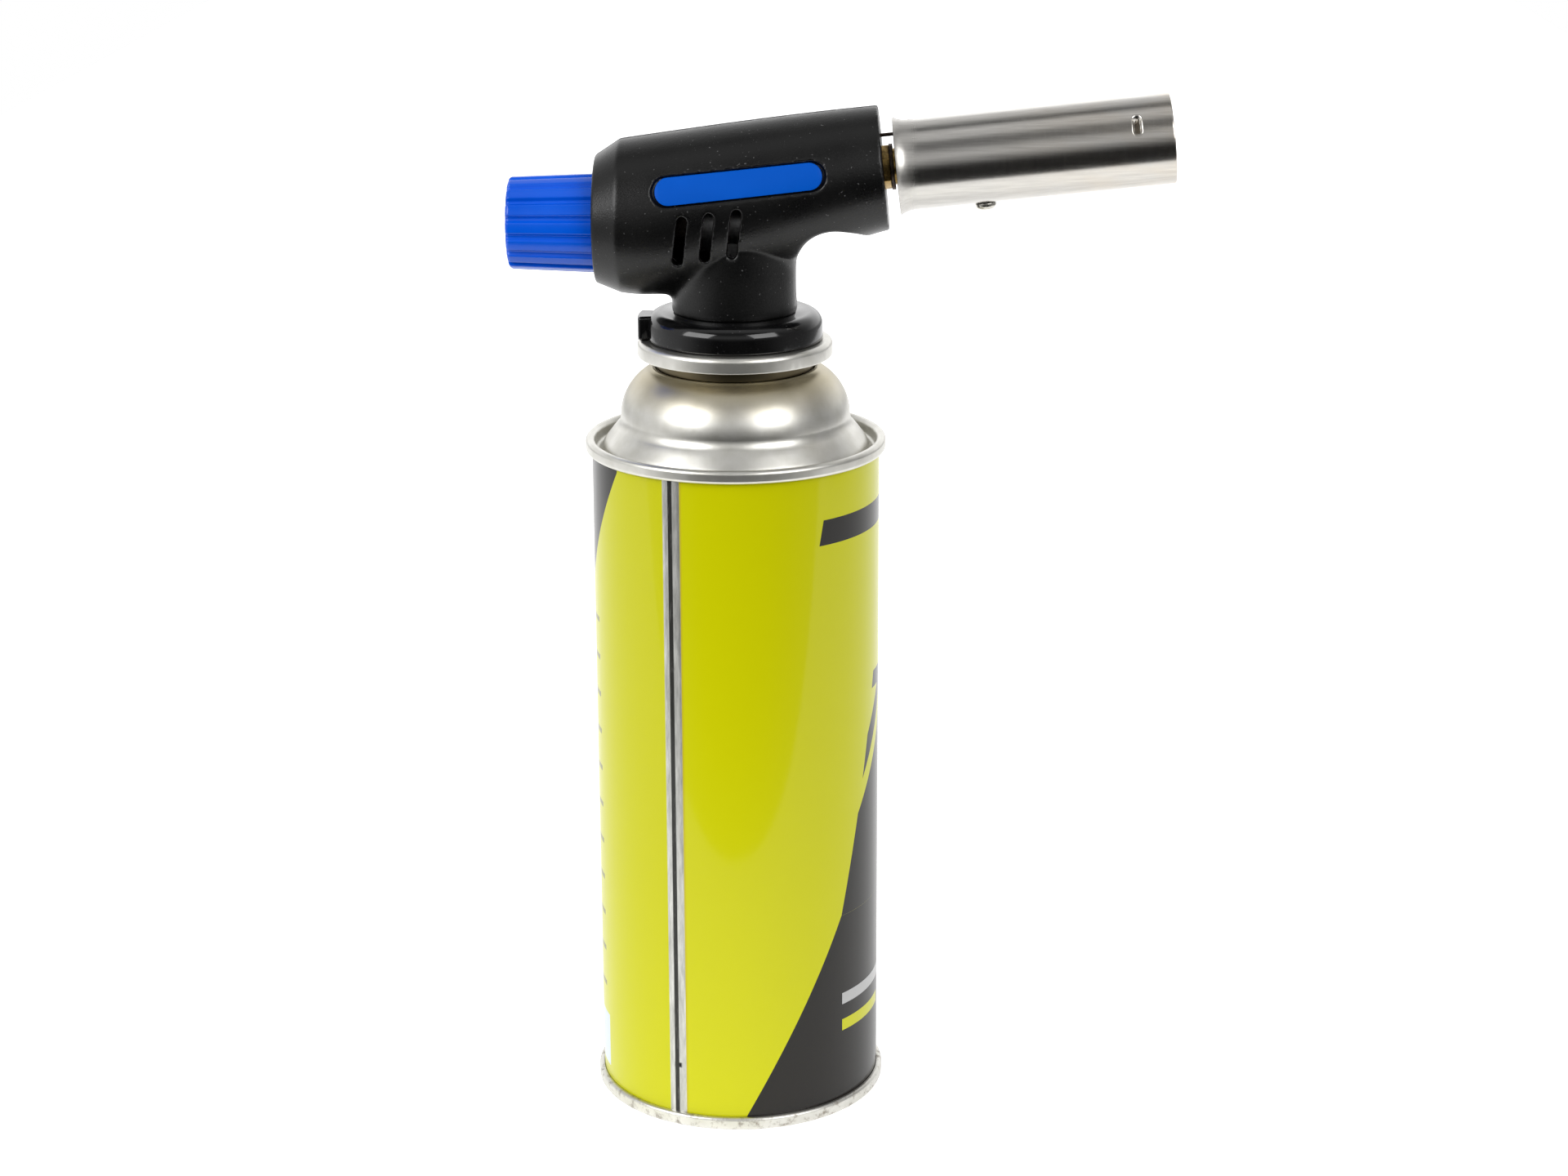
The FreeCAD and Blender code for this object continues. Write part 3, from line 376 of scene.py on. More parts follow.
def bare_metal(name, bright, dull, roughness, patina=None, per_mm=1.2):
    """Machined or cast metal with uneven brightness and an optional patina in patches."""
    g = Graph(name)
    patch = g.noise(per_mm, detail=5, roughness=0.6)
    lines = g.noise((9.0, 1.0, 1.0), detail=3)
    base = g.mix(g.remap(patch, 0.3, 0.7), dull, bright)
    if patina:
        cover = g.remap(g.noise(per_mm * 0.45, detail=5, roughness=0.7), 0.45, 0.7, 0.0, 0.85)
        base = g.mix(cover, base, patina)
    rough = g.remap(patch, 0.2, 0.8, roughness - 0.06, roughness + 0.1)
    g.surface(Base_Color=base, Metallic=1.0, Roughness=rough)
    g.bump(g.math("ADD", patch, lines), 0.01, 0.4)
    return g.material


def plain(name, colour, second, roughness):
    """Small soft or fired pieces: two close shades and a faint grain."""
    g = Graph(name)
    grain = g.noise(1.5, detail=5, roughness=0.6)
    base = g.mix(g.remap(grain, 0.3, 0.7), colour, second)
    g.surface(Base_Color=base, Roughness=roughness)
    g.bump(grain, 0.02, 0.3)
    return g.material


MATERIALS = {
    "can_print": can_print(),
    # the dome: its top tinted warm and darker, partly a painted reflection of the collar
    "tinplate": tinplate("tinplate_satin", top_tint_and_reflection=0.75),
    "tinplate_foot": tinplate("tinplate_foot", stained=True),
    # the collar: its foot under the rim carries painted shade
    "tinplate_collar": tinplate("tinplate_collar", hub_shade=True),
    "black_matte": moulded(
        "black_moulding", (0.0018, 0.0018, 0.0019), (0.003, 0.003, 0.0029), 0.31, 2.6, 0.06, 0.35, 0.38
    ),
    "black_gloss": moulded(
        "black_gloss_moulding", (0.002, 0.002, 0.0023), (0.004, 0.004, 0.004), 0.13, 1.2, 0.002, 0.15
    ),
    "blue_plastic": moulded(
        "blue_moulding", (0.0, 0.082, 0.60), (0.0001, 0.094, 0.66), 0.20, 0.5, 0.001, level=0.36
    ),
    "blue_badge": moulded(
        "blue_badge_moulding", (0.0, 0.080, 0.47), (0.0001, 0.088, 0.51), 0.40, 1.8, 0.008, level=0.08
    ),
    "stainless": stainless(),
    "screw_steel": bare_metal("nickel_screw", (0.72, 0.70, 0.64), (0.48, 0.46, 0.42), 0.24),
    "brass": bare_metal("burner_brass", (0.62, 0.43, 0.15), (0.30, 0.19, 0.06), 0.32, (0.10, 0.055, 0.02)),
    "zinc": bare_metal("cast_zinc", (0.52, 0.52, 0.52), (0.32, 0.32, 0.33), 0.42),
    "dark_steel": bare_metal(
        "oxidised_steel", (0.12, 0.10, 0.09), (0.035, 0.03, 0.028), 0.42, (0.08, 0.04, 0.02)
    ),
    "spring_steel": bare_metal("spring_wire", (0.55, 0.55, 0.56), (0.38, 0.38, 0.39), 0.3),
    "seal_rubber": plain("seal_rubber", (0.012, 0.012, 0.012), (0.02, 0.02, 0.02), 0.6),
    "white_plastic": plain("natural_plastic", (0.72, 0.71, 0.66), (0.78, 0.77, 0.73), 0.45),
    "filter_bronze": bare_metal(
        "sintered_bronze", (0.42, 0.27, 0.12), (0.2, 0.12, 0.06), 0.55, per_mm=6.0
    ),
    "ceramic": plain("white_ceramic", (0.82, 0.80, 0.74), (0.74, 0.71, 0.64), 0.3),
    "igniter_plastic": plain("igniter_case", (0.02, 0.02, 0.022), (0.03, 0.03, 0.032), 0.4),
    "lead_jacket": plain("silicone_jacket", (0.42, 0.02, 0.015), (0.5, 0.035, 0.02), 0.5),
}


# ---- mesh helpers ----
def mesh_piece(name, points, faces, body, material, replaces=()):
    """A smooth mesh object from points in millimetres, riding on a body."""
    mesh = bpy.data.meshes.new(name)
    mesh.from_pydata((np.asarray(points, float) * MM).tolist(), [], faces)
    mesh.validate()
    tidy = bmesh.new()
    tidy.from_mesh(mesh)
    bmesh.ops.remove_doubles(tidy, verts=tidy.verts, dist=1e-7)
    bmesh.ops.recalc_face_normals(tidy, faces=tidy.faces)
    tidy.to_mesh(mesh)
    tidy.free()
    piece = bpy.data.objects.new(name, mesh)
    return adopt(piece, body, material, replaces)


def adopt(piece, body, material, replaces=()):
    """Put a finished piece in the scene: its material, its body and the CAD nodes it stands for."""
    if piece.name not in bpy.context.scene.collection.objects:
        bpy.context.scene.collection.objects.link(piece)
    piece.data.materials.clear()
    piece.data.materials.append(MATERIALS[material])
    piece.data.polygons.foreach_set("use_smooth", [True] * len(piece.data.polygons))
    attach(piece, body)
    if replaces:
        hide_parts(*replaces)
    return piece


def arc(start, middle, end, count):
    """Points after start on the circle through three points, up to the end."""
    (ax, ay), (bx, by), (cx, cy) = start, middle, end
    d = 2 * (ax * (by - cy) + bx * (cy - ay) + cx * (ay - by))
    sa, sb, sc = ax * ax + ay * ay, bx * bx + by * by, cx * cx + cy * cy
    ox = (sa * (by - cy) + sb * (cy - ay) + sc * (ay - by)) / d
    oy = (sa * (cx - bx) + sb * (ax - cx) + sc * (bx - ax)) / d
    radius = math.hypot(ax - ox, ay - oy)
    first = math.atan2(ay - oy, ax - ox)
    turn = (math.atan2(cy - oy, cx - ox) - first) % (2 * math.pi)
    through = (math.atan2(by - oy, bx - ox) - first) % (2 * math.pi)
    if through > turn:
        turn -= 2 * math.pi
    spots = [first + turn * (i + 1) / count for i in range(count)]
    return [(ox + radius * math.cos(t), oy + radius * math.sin(t)) for t in spots]


def outline(start, *steps, arc_points=8):
    """Closed outline in the r-s plane.

    A pair ends a straight run; two pairs are an arc's middle and end.
    """
    points = [start]
    for step in steps:
        if isinstance(step[0], tuple):
            points += arc(points[-1], step[0], step[1], arc_points)
        else:
            points.append(step)
    return points


def lathe(points, segments, shift=None, axis=Matrix.Identity(4)):
    """Points and faces of a closed outline turned about an axis. shift(r, s, turn) changes the radius."""
    turns = np.arange(segments) * 2 * math.pi / segments
    rows = []
    for r, s in points:
        radius = np.full(segments, float(r))
        if shift:
            radius = radius + shift(r, s, turns)
        height = np.full(segments, float(s))
        rows.append(np.stack([radius * np.cos(turns), radius * np.sin(turns), height], 1))
    cloud = np.concatenate(rows)
    cloud = cloud @ np.array(axis.to_3x3()).T + np.array(axis.translation)
    count = len(points)
    faces = []
    for i in range(count):
        j = (i + 1) % count
        if points[i][0] < 1e-6 and points[j][0] < 1e-6:
            continue
        for k in range(segments):
            m = (k + 1) % segments
            faces.append((i * segments + k, i * segments + m, j * segments + m, j * segments + k))
    return cloud, faces


def crisp(piece, width, angle=32, segments=2):
    """Round a piece's sharp edges by a width in millimetres, with shading that keeps its flats flat."""
    bevel = piece.modifiers.new("edges", "BEVEL")
    bevel.width = width * MM
    bevel.segments = segments
    bevel.limit_method = "ANGLE"
    bevel.angle_limit = math.radians(angle)
    bevel.use_clamp_overlap = True
    bevel.harden_normals = False
    weigh = piece.modifiers.new("normals", "WEIGHTED_NORMAL")
    weigh.keep_sharp = True
    bake(piece)


def bake(piece):
    """Replace a piece's mesh by what its modifiers make of it."""
    graph = bpy.context.evaluated_depsgraph_get()
    finished = bpy.data.meshes.new_from_object(piece.evaluated_get(graph))
    piece.modifiers.clear()
    piece.data = finished


def finished_copy(node, material, width):
    """A CAD node's shape with rounded edges, standing for the node."""
    piece = bpy.data.objects.new(node + "_finished", NODES[node].data.copy())
    bpy.context.scene.collection.objects.link(piece)
    weld(piece.data)
    if width:
        crisp(piece, width)
    adopt(piece, NODES[node]["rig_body"], material, (node,))
    piece.data.set_sharp_from_angle(angle=math.radians(38))
    return piece


def weld(mesh):
    """Join the corners that faces share and drop the imported shading."""
    tidy = bmesh.new()
    tidy.from_mesh(mesh)
    bmesh.ops.remove_doubles(tidy, verts=tidy.verts, dist=2e-6)
    bmesh.ops.dissolve_degenerate(tidy, edges=tidy.edges, dist=1e-6)
    tidy.to_mesh(mesh)
    tidy.free()
    if "custom_normal" in mesh.attributes:
        mesh.attributes.remove(mesh.attributes["custom_normal"])


def relax(mesh, passes, weight):
    """Even out a mesh: each point moves towards its neighbours' mean by its weight, pass by pass."""
    count = len(mesh.vertices)
    co = np.empty(count * 3)
    mesh.vertices.foreach_get("co", co)
    co = co.reshape(-1, 3)
    ends = np.empty(len(mesh.edges) * 2, int)
    mesh.edges.foreach_get("vertices", ends)
    a, b = ends.reshape(-1, 2).T
    degree = np.bincount(a, minlength=count) + np.bincount(b, minlength=count)
    pull = (weight(co / MM) * 0.5)[:, None]
    for _ in range(passes):
        total = np.empty_like(co)
        for k in range(3):
            total[:, k] = np.bincount(a, co[b, k], count) + np.bincount(b, co[a, k], count)
        co = co + pull * (total / degree[:, None] - co)
    mesh.vertices.foreach_set("co", co.ravel())
    mesh.update()


def smoothstep(value, low, high):
    t = np.clip((value - low) / (high - low), 0, 1)
    return t * t * (3 - 2 * t)


# ---- cartridge ----
def can_wall():
    """Rolled wall with the raised lap of its weld."""
    inner = CAN_RADIUS - CAN_WALL
    low, high = 1.0, CAN_HEIGHT - 1.0
    points = [(CAN_RADIUS, low), (CAN_RADIUS, high), (inner, high), (inner, low)]
    middle = math.radians((WELD_START + WELD_END) / 2 - 90)
    half = math.radians((WELD_END - WELD_START) / 2)

    def lap(r, s, turns):
        if r < CAN_RADIUS:
            return 0
        off = np.abs((turns - middle + math.pi) % (2 * math.pi) - math.pi)
        return 0.10 * (1 - smoothstep(off, half * 0.8, half * 1.1))

    cloud, faces = lathe(points, 720, lap)
    mesh_piece("can_wall", cloud, faces, "cartridge", "can_print", ("can_body",))
    bpy.data.objects["can_wall"].data.set_sharp_from_angle(angle=math.radians(40))


def can_foot():
    """Bottom end: the double seam it stands on and the inward dome."""
    outer = BOTTOM_SEAM_RADIUS
    inner = CAN_RADIUS - CAN_WALL
    plug = inner - 0.8
    points = outline(
        (0, 9.0),
        (3.0, 9.0),
        ((17.5, 7.7), (plug - 1.2, 4.2)),
        (plug - 0.6, 3.6),
        (plug, 0.7),
        ((plug + 0.2, 0.2), (plug + 0.7, 0)),
        (outer - 0.8, 0),
        ((outer - 0.23, 0.23), (outer, 0.8)),
        (outer, 2.2),
        ((outer - 0.23, 2.77), (outer - 0.8, SEAM_HEIGHT)),
        (CAN_RADIUS + 0.12, SEAM_HEIGHT),
        (CAN_RADIUS + 0.12, 1.0),
        (inner, 1.0),
        (inner, 4.6),
        (plug - 1.0, 4.7),
        ((17.6, 8.1), (3.0, 9.4)),
        (0, 9.4),
    )
    cloud, faces = lathe(points, 256)
    piece = mesh_piece("can_foot", cloud, faces, "cartridge", "tinplate_foot", ("can_bottom",))
    piece.data.set_sharp_from_angle(angle=math.radians(50))


def can_shoulder():
    """Domed top: double seam, countersink, shoulder and the rolled curl under the valve cup."""
    outer = TOP_SEAM_RADIUS
    inner = CAN_RADIUS - CAN_WALL
    top = CAN_HEIGHT
    points = outline(
        (outer, top - SEAM_HEIGHT + 0.9),
        (outer, top - 0.95),
        ((outer - 0.26, top - 0.28), (outer - 0.95, top)),
        (32.95, top),
        ((32.3, top - 0.28), (32.0, top - 0.95)),
        (32.0, 155.3),
        ((31.8, 154.65), (31.4, 154.4)),
        (31.1, 154.4),
        ((30.55, 155.2), (30.0, 156.3)),
        (29.3, 157.3),
        (28.0, 159.0),
        (27.2, 160.0),
        ((26.25, 161.3), (26.0, 162.8)),
        ((23.9, 169.3), (18.9, 173.5)),
        ((18.35, 173.75), (17.95, 173.4)),
        (17.95, 172.5),
        ((17.75, 172.05), (17.3, 171.9)),
        (15.4, 171.9),
        (15.4, 171.5),
        (17.4, 171.5),
        ((18.1, 171.75), (18.35, 172.4)),
        (18.4, 173.4),
        (18.7, 173.2),
        ((23.55, 168.95), (25.6, 162.8)),
        ((25.85, 161.2), (26.85, 159.8)),
        (29.65, 156.1),
        ((30.2, 155.0), (30.9, 154.0)),
        (31.5, 154.0),
        (inner, 153.6),
        (inner, top - 1.0),
        (CAN_RADIUS + 0.12, top - 1.0),
        (CAN_RADIUS + 0.12, top - SEAM_HEIGHT),
        (outer - 0.9, top - SEAM_HEIGHT),
        ((outer - 0.26, top - SEAM_HEIGHT + 0.26), (outer, top - SEAM_HEIGHT + 0.9)),
        arc_points=16,
    )
    cloud, faces = lathe(points[:-1], 256)
    piece = mesh_piece("can_shoulder", cloud, faces, "cartridge", "tinplate", ("can_dome",))
    piece.data.set_sharp_from_angle(angle=math.radians(60))
    curl_radius, curl_height, curl_round = 15.2, 171.6, 1.3
    turns = np.linspace(0, 2 * math.pi, 25)[:-1]
    ring = [(curl_radius + curl_round * math.cos(t), curl_height + curl_round * math.sin(t)) for t in turns]
    cloud, faces = lathe(ring, 160)
    mesh_piece("can_curl", cloud, faces, "cartridge", "tinplate")


# ---- torch head mouldings ----
def add_screw_wells(mesh):
    """Add to the far half the round walls its screw heads sit in, each ending inside the casing's skin."""
    shell = bmesh.new()
    shell.from_mesh(mesh)
    skin = BVHTree.FromBMesh(shell)
    inward = Vector((0, -1, 0))
    far_side = 40
    count = 32
    for x, z, seat in SCREW_WELLS:
        rings = [[], [], [], []]
        for k in range(count):
            turn = 2 * math.pi * k / count
            outer, bore = ((x + r * math.cos(turn), z + r * math.sin(turn)) for r in (WELL_OUTER, WELL_BORE))
            low, high = seat - WELL_FOOT, seat + WELL_RISE
            hit = skin.ray_cast(Vector((outer[0], far_side, outer[1])) * MM, inward)[0]
            if hit:
                high = max(high, hit.y / MM - WELL_SKIN)
            spots = ((outer, low), (outer, high), (bore, high), (bore, low))
            for ring, (spot, y) in zip(rings, spots):
                ring.append(shell.verts.new(Vector((spot[0], y, spot[1])) * MM))
        for a, b in zip(rings, rings[1:] + rings[:1]):
            for k in range(count):
                m = (k + 1) % count
                shell.faces.new((a[k], b[k], b[m], a[m]))
    bmesh.ops.recalc_face_normals(shell, faces=shell.faces)
    shell.to_mesh(mesh)
    shell.free()


def casing_half(node):
    """One half of the casing: the CAD shape with moulded, rounded edges and a soft blend into the neck."""
    piece = bpy.data.objects.new(node + "_shell", NODES[node].data.copy())
    bpy.context.scene.collection.objects.link(piece)
    weld(piece.data)
    if node == "casing_right":
        add_screw_wells(piece.data)
    even = piece.modifiers.new("even", "REMESH")
    even.mode = "VOXEL"
    even.voxel_size = 0.32 * MM
    bake(piece)

    def blend_weight(points):
        """Full on the neck's surface where it meets the ring, half at the finger rest under the barrel."""
        x, y, z = points.T
        distance = np.hypot(x, y)
        collar = smoothstep(z, 188.0, 190.5) * (1 - smoothstep(z, 197.0, 200.0))
        near = 1 - smoothstep(np.abs(distance - NECK_RADIUS - 1.0), 3.0, 6.0)
        finger = smoothstep(x, 11.0, 14.0) * (1 - smoothstep(z, 205.5, 208.5)) * smoothstep(z, 190.0, 196.0)
        outside = smoothstep(np.hypot(y, (z - 209.0) * 0.5 + 2.0), 9.0, 11.5)
        return np.maximum(collar * near, 0.55 * finger * outside)

    blend_passes, smooth_passes = 90, 4
    relax(piece.data, blend_passes, blend_weight)
    relax(piece.data, smooth_passes, lambda points: np.full(len(points), 0.9))
    adopt(piece, "head", "black_matte", (node,))


def lock_ring():
    """Glossy bayonet ring with its tab, claw and lugs."""
    points = outline(
        (5.3, 184.3),
        (11.5, 184.3),
        (11.5, 177.0),
        (13.4, 177.0),
        (13.4, RING_BOTTOM),
        (RING_RADIUS - 0.5, RING_BOTTOM),
        ((RING_RADIUS - 0.15, RING_BOTTOM + 0.15), (RING_RADIUS, RING_BOTTOM + 0.5)),
        (RING_RADIUS, RING_TOP - 3.0),
        ((RING_RADIUS - 0.88, RING_TOP - 0.88), (RING_RADIUS - 3.0, RING_TOP)),
        (12.2, RING_TOP),
        (11.9, 186.6),
        (11.9, 187.8),
        (10.9, 187.8),
        (10.9, 189.2),
        (11.9, 189.2),
        (11.9, 189.8),
        (5.3, 189.8),
        arc_points=10,
    )
    cloud, faces = lathe(points, 256)
    piece = mesh_piece("bayonet_ring", cloud, faces, "head", "black_gloss", ("lock_ring",))
    piece.data.set_sharp_from_angle(angle=math.radians(50))
    # name, radii, angles in degrees, heights, rounding of the edges
    blocks = [
        ("ring_tab", (16.2, 21.9), (168.0, 192.0), (RING_BOTTOM, 185.5), 0.7),
        ("ring_claw", (22.15, 22.7), (161.0, 169.0), (175.2, 184.0), 0.12),
        ("ring_hook", (21.2, 22.7), (161.0, 169.0), (175.2, 176.1), 0.2),
        ("ring_bridge", (18.0, 22.7), (161.0, 169.0), (181.0, 184.0), 0.3),
    ]
    for i in range(3):
        middle = 60.0 + 120.0 * i
        blocks.append((f"ring_lug_{i}", (12.0, 16.6), (middle - 15, middle + 15), (177.0, 178.9), 0.3))
    for name, radii, angles, heights, width in blocks:
        cloud, faces = sector_block(radii, angles, heights)
        piece = mesh_piece(name, cloud, faces, "head", "black_gloss")
        crisp(piece, width, angle=40, segments=4)


def sector_block(radii, angles, heights):
    """Closed block between two radii, two angles in degrees and two heights."""
    steps = max(2, int((angles[1] - angles[0]) / 3))
    cloud, faces = [], []
    for i in range(steps + 1):
        turn = math.radians(angles[0] + (angles[1] - angles[0]) * i / steps)
        for a, b in ((0, 0), (1, 0), (1, 1), (0, 1)):
            cloud.append((radii[a] * math.cos(turn), radii[a] * math.sin(turn), heights[b]))
    for i in range(steps):
        for k in range(4):
            m = (k + 1) % 4
            faces.append((4 * i + k, 4 * i + m, 4 * i + 4 + m, 4 * i + 4 + k))
    faces.append((3, 2, 1, 0))
    faces.append((4 * steps, 4 * steps + 1, 4 * steps + 2, 4 * steps + 3))
    return cloud, faces


def ribbed_knob():
    """Knob with its lengthwise ribs, hollow rear, front web and stop flange."""
    ribs = 16
    rear_radius, front_radius = 10.26, 11.03
    groove_depth, groove_start = 0.75, 28.6
    start = math.radians(3.2)
    points = outline(
        (2.06, -26.3),
        (12.0, -26.3),
        (12.2, -26.5),
        (12.2, -27.3),
        (12.0, KNOB_FRONT),
        (11.05, KNOB_FRONT),
        (11.05, -28.6),
        (11.04, -29.2),
        (front_radius, -29.8),
        (front_radius, CASING_REAR),
        (rear_radius + 0.03, KNOB_REAR + 0.9),
        ((rear_radius - 0.22, KNOB_REAR + 0.25), (rear_radius - 0.9, KNOB_REAR)),
        (9.15, KNOB_REAR),
        (9.0, KNOB_REAR + 0.15),
        (9.0, KNOB_FRONT),
        (4.3, KNOB_FRONT),
        (4.3, HUB_REAR),
        (2.06, HUB_REAR),
        arc_points=6,
    )
    dense = []
    for (r0, s0), (r1, s1) in zip(points, points[1:] + points[:1]):
        steps = max(1, int(abs(s1 - s0) / 1.2)) if r0 > 10 and r1 > 10 else 1
        dense += [(r0 + (r1 - r0) * i / steps, s0 + (s1 - s0) * i / steps) for i in range(steps)]

    def flutes(r, s, turns):
        if r < 9.2 or s > -groove_start:
            return 0
        depth = groove_depth * smoothstep(-s, groove_start, 29.8) * (0.25 + 0.75 * smoothstep(r, 9.2, 10.2))
        phase = np.abs(((turns + start) * ribs / (2 * math.pi) + 0.5) % 1 - 0.5)
        return -depth * smoothstep(phase, 0.24, 0.45)

    cloud, faces = lathe(dense, ribs * 32, flutes, KNOB_AXIS)
    piece = mesh_piece("ribbed_knob", cloud, faces, "knob", "blue_plastic", ("knob",))
    piece.data.set_sharp_from_angle(angle=math.radians(50))


# ---- burner ----
def flame_tube():
    """Stainless tube with a flared rear rim and three pressed slots near its mouth."""
    inner = TUBE_RADIUS - TUBE_WALL
    flare_end = TUBE_REAR + FLARE_LENGTH
    slot_at = TUBE_FRONT - SLOT_BACK
    fine = np.linspace(-2.2, 2.2, 45)
    outside = [(TUBE_RADIUS, flare_end), (TUBE_RADIUS, slot_at - 2.4)]
    outside += [(TUBE_RADIUS, slot_at + s) for s in fine]
    outside += [(TUBE_RADIUS, TUBE_FRONT - 0.5), (TUBE_RADIUS, TUBE_FRONT - 0.2)]
    outside += [(TUBE_RADIUS - 0.06, TUBE_FRONT - 0.06), (TUBE_RADIUS - 0.2, TUBE_FRONT)]
    inside = [(inner + 0.05, TUBE_FRONT)]
    inside += [(inner, slot_at - s) for s in fine]
    inside += [(inner, flare_end)]
    rings, curve = 24, 2.8
    steps = [i / rings for i in range(1, rings + 1)]
    flare = [(TUBE_FLARE - TUBE_RADIUS) * t ** curve for t in steps]
    rear_inner = [(inner + rise, flare_end - FLARE_LENGTH * t) for rise, t in zip(flare, steps)]
    rear_outer = [(TUBE_RADIUS + rise, flare_end - FLARE_LENGTH * t) for rise, t in zip(flare[:-1], steps)]
    rear_outer = rear_outer[::-1]
    rear_rim = [(TUBE_FLARE - 0.35, TUBE_REAR - 0.08), (TUBE_FLARE, TUBE_REAR)]
    points = outside + inside + rear_inner + rear_rim + rear_outer
    # the slots stand at the bottom and 30 degrees above the level on both sides
    places = [math.radians(a) for a in (0, 120, 240)]
    half_run, dent = 1.3, 0.55

    def slots(r, s, turns):
        """The wall dips round each slot."""
        if abs(s - slot_at) > 2.3:
            return 0
        total = 0
        for place in places:
            along = ((turns - place + math.pi) % (2 * math.pi) - math.pi) * TUBE_RADIUS
            stretch = np.maximum(np.abs(along) - half_run, 0)
            distance = np.hypot(stretch, s - slot_at)
            total = total - dent * (1 - smoothstep(distance, 0.45, 1.2))
        return total

    cloud, faces = lathe(points, 480, slots, NOZZLE)
    piece = mesh_piece("flame_tube_shell", cloud, faces, "head", "stainless", ("flame_tube",))
    cutters = []
    for place in places:
        cutter = slot_cutter(place, slot_at)
        cutters.append(cutter)
        hole = piece.modifiers.new("slot", "BOOLEAN")
        hole.object = cutter
        hole.solver = "EXACT"
    bake(piece)
    for cutter in cutters:
        bpy.data.objects.remove(cutter)
    piece.data.polygons.foreach_set("use_smooth", [True] * len(piece.data.polygons))
    piece.data.set_sharp_from_angle(angle=math.radians(60))


def slot_cutter(place, slot_at):
    """Pill-shaped prism that crosses the tube's wall, long round the tube, at one turn angle."""
    count, half_run, end_radius = 32, 1.25, 0.6
    ring = []
    for k in range(count):
        t = 2 * math.pi * k / count
        side = math.copysign(1, math.cos(t))
        ring.append((half_run * side + end_radius * math.cos(t), end_radius * math.sin(t)))
    turn = Matrix.Rotation(place, 4, "Z")
    cloud = []
    for depth in (TUBE_RADIUS - 3.0, TUBE_RADIUS + 2.0):
        cloud += [NOZZLE @ turn @ Vector((depth, across, slot_at + along)) * MM for across, along in ring]
    faces = [(k, (k + 1) % count, count + (k + 1) % count, count + k) for k in range(count)]
    faces += [tuple(reversed(range(count))), tuple(range(count, 2 * count))]
    mesh = bpy.data.meshes.new("slot_cutter")
    mesh.from_pydata([tuple(point) for point in cloud], [], faces)
    cutter = bpy.data.objects.new("slot_cutter", mesh)
    bpy.context.scene.collection.objects.link(cutter)
    return cutter


def small_parts():
    """CAD nodes whose shape is right: the ones that show get rounded edges, the rest a fitting material."""
    # node: material, slot, rounding of the edges
    shown = {
        "valve_collar": ("tinplate_collar", "tinplate", 0.12),
        "valve_cup": ("tinplate", "tinplate", 0.0),
        "badge_left": ("blue_badge", "blue_badge", 0.12),
        "badge_right": ("blue_badge", "blue_badge", 0.12),
        "knob_cap": ("blue_plastic", "blue_plastic", 0.1),
        "burner_tube": ("brass", "brass", 0.12),
        "rear_disc": ("dark_steel", "dark_steel", 0.08),
        "burner_head": ("dark_steel", "dark_steel", 0.1),
        "flame_disc": ("brass", "brass", 0.05),
        "tube_screw": ("screw_steel", "screw_steel", 0.08),
        "casing_screws": ("screw_steel", "screw_steel", 0.08),
        "electrode_insulator": ("ceramic", "ceramic", 0.1),
        "valve_body": ("zinc", "zinc", 0.2),
        "gland_nut": ("dark_steel", "dark_steel", 0.1),
    }
    for node, (material, slot, width) in shown.items():
        finished_copy(node, material, width)
    for entry in frame["record"]["subparts"]:
        node = entry["node"]
        if node not in shown and not node.endswith("_spring"):
            mesh = NODES[node].data
            mesh.materials.clear()
            mesh.materials.append(MATERIALS[entry["material_slot"]])


def springs():
    """The three springs, each a finished copy of its CAD node with a mesh of its own."""
    # node, joint that presses it, its axis, the end that stays, length at rest, travel of the joint
    presses = (
        ("knob_spring", "knob_push", (1, 0, 0), (-13.5, 0, KNOB_Z), 12.8, 5.5),
        ("stem_spring", "stem_press", (0, 0, 1), (0, 0, 161.25), 8.7, 0.8),
        ("piezo_spring", "plunger_slide", (1, 0, 0), (-6.55, 8.1, 209.3), 9.4, 5.5),
    )
    for node, joint, axis, anchor, length, travel in presses:
        piece = finished_copy(node, "spring_steel", 0.0)
        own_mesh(piece)


can_wall()
can_foot()
can_shoulder()
casing_half("casing_left")
casing_half("casing_right")
lock_ring()
ribbed_knob()
flame_tube()
small_parts()
springs()


# ---- stage, light and camera ----
def stage():
    """Pale table: a wide flat sheet, ending a little way in front of the torch."""
    mesh = bpy.data.meshes.new("table")
    front, back, side = -0.20, 3.0, 0.6
    edge = [(-side, front, 0), (side, front, 0), (side, back, 0), (-side, back, 0)]
    mesh.from_pydata(edge, [], [(0, 1, 2, 3)])
    table = bpy.data.objects.new("table", mesh)
    bpy.context.scene.collection.objects.link(table)
    g = Graph("table_white")
    grain = g.noise(0.01, detail=2)
    white = g.mix(grain, (0.93, 0.93, 0.93), (0.95, 0.95, 0.95))
    g.surface(Base_Color=white, Roughness=0.6, Specular_IOR_Level=0.2)
    # brighter towards the back, where it meets the white backdrop
    glow = g.remap(g.axes()[1], 100.0, 1100.0, 0.45, 1.0)
    g.surface(Emission_Color=(1, 1, 1), Emission_Strength=glow)
    mesh.materials.append(g.material)


def softbox(name, place, target, size, power):
    """Rectangular studio light aimed at a point, all in metres."""
    lamp = bpy.data.lights.new(name, "AREA")
    lamp.shape = "RECTANGLE"
    lamp.size, lamp.size_y = size
    lamp.energy = power
    light = bpy.data.objects.new(name, lamp)
    light.location = place
    light.rotation_euler = (Vector(target) - Vector(place)).to_track_quat("-Z", "Y").to_euler()
    bpy.context.scene.collection.objects.link(light)


